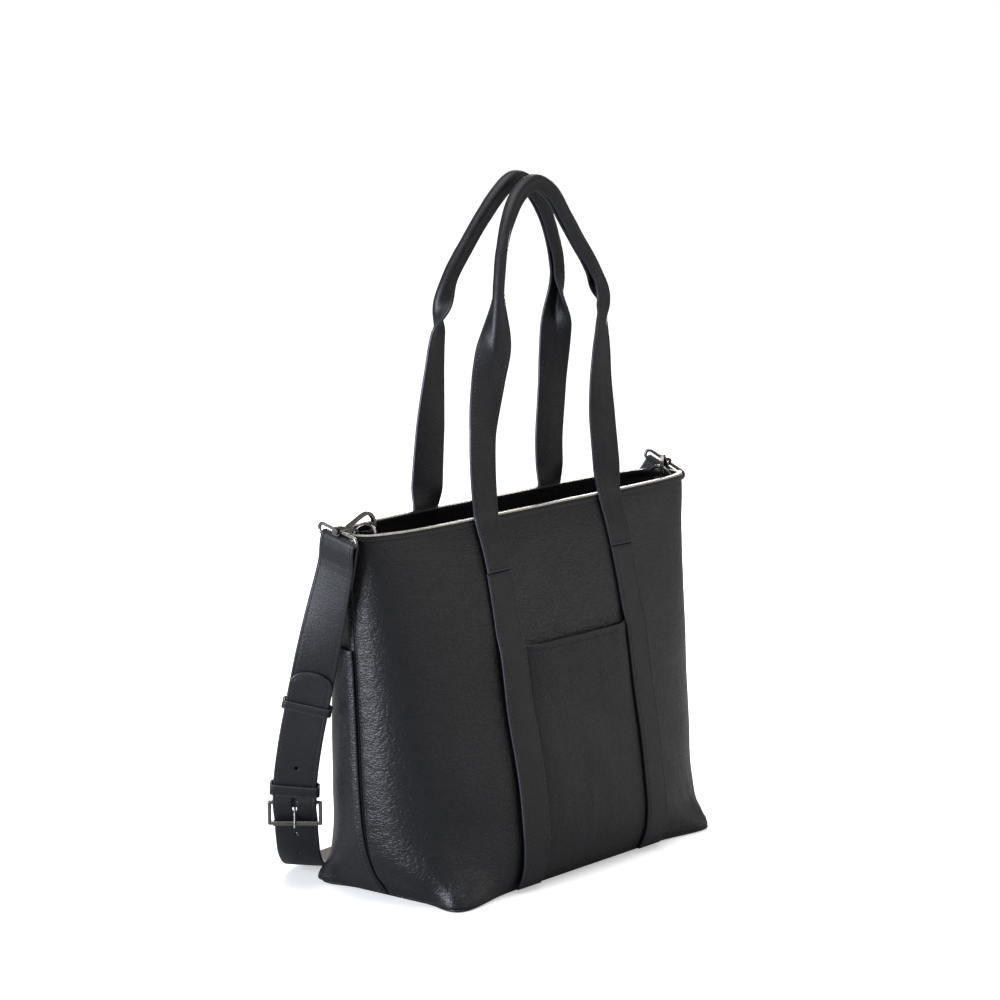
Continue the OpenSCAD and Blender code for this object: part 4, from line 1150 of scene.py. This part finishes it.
def zip_rows():
    """Woven tape on both sides of two interlocking rows of metal teeth."""
    low, high = corner("zip_tape", 0), corner("zip_tape", 1)
    zip_z = (low[2] + high[2]) / 2
    lean = math.atan((face_y(0.0, zip_z - 5, BACK) - face_y(0.0, zip_z + 5, BACK)) / 10)
    up = np.array([0, -math.sin(lean), math.cos(lean)])
    face = np.array([0, -math.cos(lean), -math.sin(lean)])
    x_dir = np.array([1.0, 0, 0])
    half, tape_half, sewn_at = high[0], 11.5, 8.5
    centre = np.array([0, (low[1] + high[1]) / 2, zip_z]) + face * 0.1
    u = lines(-half, half, 60, 0.5)
    v = lines(-tape_half, tape_half, 12, 0.5, tape_half - sewn_at)
    U, V = np.meshgrid(u, v, indexing="xy")
    P = centre + U[..., None] * x_dir + V[..., None] * up
    D = np.minimum(half - np.abs(U), tape_half - np.abs(V))
    piece = slab("zip_tape_cloth", P, 1.0, D, [TAPE, TAPE], groove=tape_half - sewn_at,
                 depth=0.2)
    dress(piece, "root", "zip_tape", "zip_tape")
    verts, faces = [], []
    pitch = 2.6
    for x in np.arange(-half + 8, half - 8, pitch):
        for hand in (-1, 1):
            where = centre + (x + hand * pitch / 4) * x_dir + up * hand * 1.0 + face * 1.0
            more, loops = box(where, x_dir, up, face, (1.15, 3.4, 1.2))
            faces += [[i + len(verts) for i in loop] for loop in loops]
            verts += more
    teeth = make_mesh("zip_teeth_row", np.array(verts), faces, materials=[TEETH], face_out=True)
    round_edges(teeth, 0.25, 2)
    dress(teeth, "root", "gunmetal")
    seams = []
    for hand in (-1, 1):
        line = centre + u[:, None] * x_dir + up * hand * sewn_at + face * 0.55
        seams.append((line, np.broadcast_to(face, line.shape)))
    sew("zip", seams, slot="zip_tape", pitch=3.0, length=2.0, r=0.25)


# ---- carried-over CAD pieces ---------------------------------------------------------------

def round_edges(piece, width, segments=3):
    bevel = piece.modifiers.new("rounded", "BEVEL")
    bevel.width = width * MM
    bevel.segments = segments
    bevel.limit_method = "ANGLE"
    bevel.angle_limit = math.radians(35)
    bevel.harden_normals = False


def finish_cad_nodes():
    """The hardware keeps its CAD shape, with rounded edges and plated metal."""
    rounding = {"left_snap_claw": 0.9, "right_snap_claw": 0.9, "left_snap_gate": 0.5,
                "right_snap_gate": 0.5, "zip_slider": 0.3, "zip_pull": 0.5, "snap_stud": 0.4,
                "snap_socket": 0.4, "left_gate_pin": 0.25, "right_gate_pin": 0.25,
                "left_strap_loop": 0.35, "right_strap_loop": 0.35, "buckle_prong": 0.4,
                "buckle_roller": 0.3}
    plated = ["left_d_ring", "right_d_ring", "buckle_frame", *rounding]
    for name in plated:
        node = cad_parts[name]
        node.data.materials.clear()
        node.data.materials.append(GUNMETAL)
        node.data.polygons.foreach_set("use_smooth", [True] * len(node.data.polygons))
        node.data.set_sharp_from_angle(angle=math.radians(38))
        if name in rounding:
            round_edges(node, rounding[name])
    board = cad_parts["base_board"]
    board.data.materials.clear()
    board.data.materials.append(BOARD)
    round_edges(board, 0.4)


# ---- stage ---------------------------------------------------------------------------------

def look_at(position, target):
    direction = Vector(target) - Vector(position)
    return direction.to_track_quat("-Z", "Y").to_euler()


def area_light(name, position, target, size, power, colour):
    data = bpy.data.lights.new(name, "AREA")
    data.shape = "RECTANGLE"
    data.size, data.size_y = size
    data.energy = power
    data.color = colour
    light = bpy.data.objects.new(name, data)
    light.location = position
    light.rotation_euler = look_at(position, target)
    bpy.context.scene.collection.objects.link(light)


def stage():
    scene = bpy.context.scene
    scene.view_settings.view_transform = "Standard"
    size, z = 6000.0, -0.05
    verts = [[-size, -size, z], [size, -size, z], [size, size, z], [-size, size, z]]
    floor = make_mesh("studio_floor", verts, [[0, 1, 2, 3]], materials=[floor_material()])
    world = bpy.data.worlds.new("studio")
    scene.world = world
    world.use_nodes = True
    tree = world.node_tree
    tree.nodes.clear()
    out = tree.nodes.new("ShaderNodeOutputWorld")
    path = tree.nodes.new("ShaderNodeLightPath")
    pick = tree.nodes.new("ShaderNodeMixShader")
    tree.links.new(path.outputs["Is Camera Ray"], pick.inputs[0])
    for socket, colour, strength in ((1, (0.96, 0.98, 1.0, 1), 0.3), (2, (1, 1, 1, 1), 1.0)):
        shade = tree.nodes.new("ShaderNodeBackground")
        shade.inputs[0].default_value = colour
        shade.inputs[1].default_value = strength
        tree.links.new(shade.outputs[0], pick.inputs[socket])
    tree.links.new(pick.outputs[0], out.inputs[0])
    centre = (0, 0, 0.25)
    area_light("left_box", (-2.1, 0.35, 0.5), (-0.15, 0, 0.2), (1.3, 1.0), 68, (0.84, 0.9, 1.0))
    area_light("top_box", (-0.2, -0.2, 2.4), centre, (2.2, 2.2), 44, (1.0, 1.0, 1.0))
    area_light("right_box", (1.5, 0.9, 0.8), centre, (0.5, 1.3), 26, (1.0, 0.92, 0.83))
    area_light("front_fill", (0.4, -2.6, 1.0), centre, (1.8, 1.2), 9, (1.0, 0.99, 0.97))
    area_light("front_right_box", (2.2, -1.9, 0.35), centre, (1.9, 0.9), 6, (1.0, 0.96, 0.91))


def camera():
    data = bpy.data.cameras.new("camera")
    data.lens = 120.6
    data.sensor_width = 36
    view = bpy.data.objects.new("camera", data)
    right = Vector((0.632, -0.775, 0.0)).normalized()
    back = Vector((-0.7645, -0.6235, 0.1637)).normalized()
    up = back.cross(right)
    turn = Matrix((right, up, back)).transposed()
    view.matrix_world = Matrix.Translation((-2.31046, -1.85972, 0.81948)) @ turn.to_4x4()
    bpy.context.scene.collection.objects.link(view)
    bpy.context.scene.camera = view


# ---- making --------------------------------------------------------------------------------

camera()
stage()
body_panel(FRONT)
body_panel(BACK)
bottom_panel()
rim_binding()
inner_facing()
lining()
front_pocket()
back_pocket()
for face in (FRONT, BACK):
    for hand in (-1, 1):
        panel_strip(face, hand)
    handle(face)
strap()
keeper("sliding_keeper", route.place(SLIDING_AT), 8.0, "sliding_keeper")
keeper("fixed_keeper", route.place(FIXED_AT) - 4, 10.0, "root")
ring_tab(-1)
ring_tab(1)
slip_pockets()
zip_pocket()
zip_rows()
finish_cad_nodes()
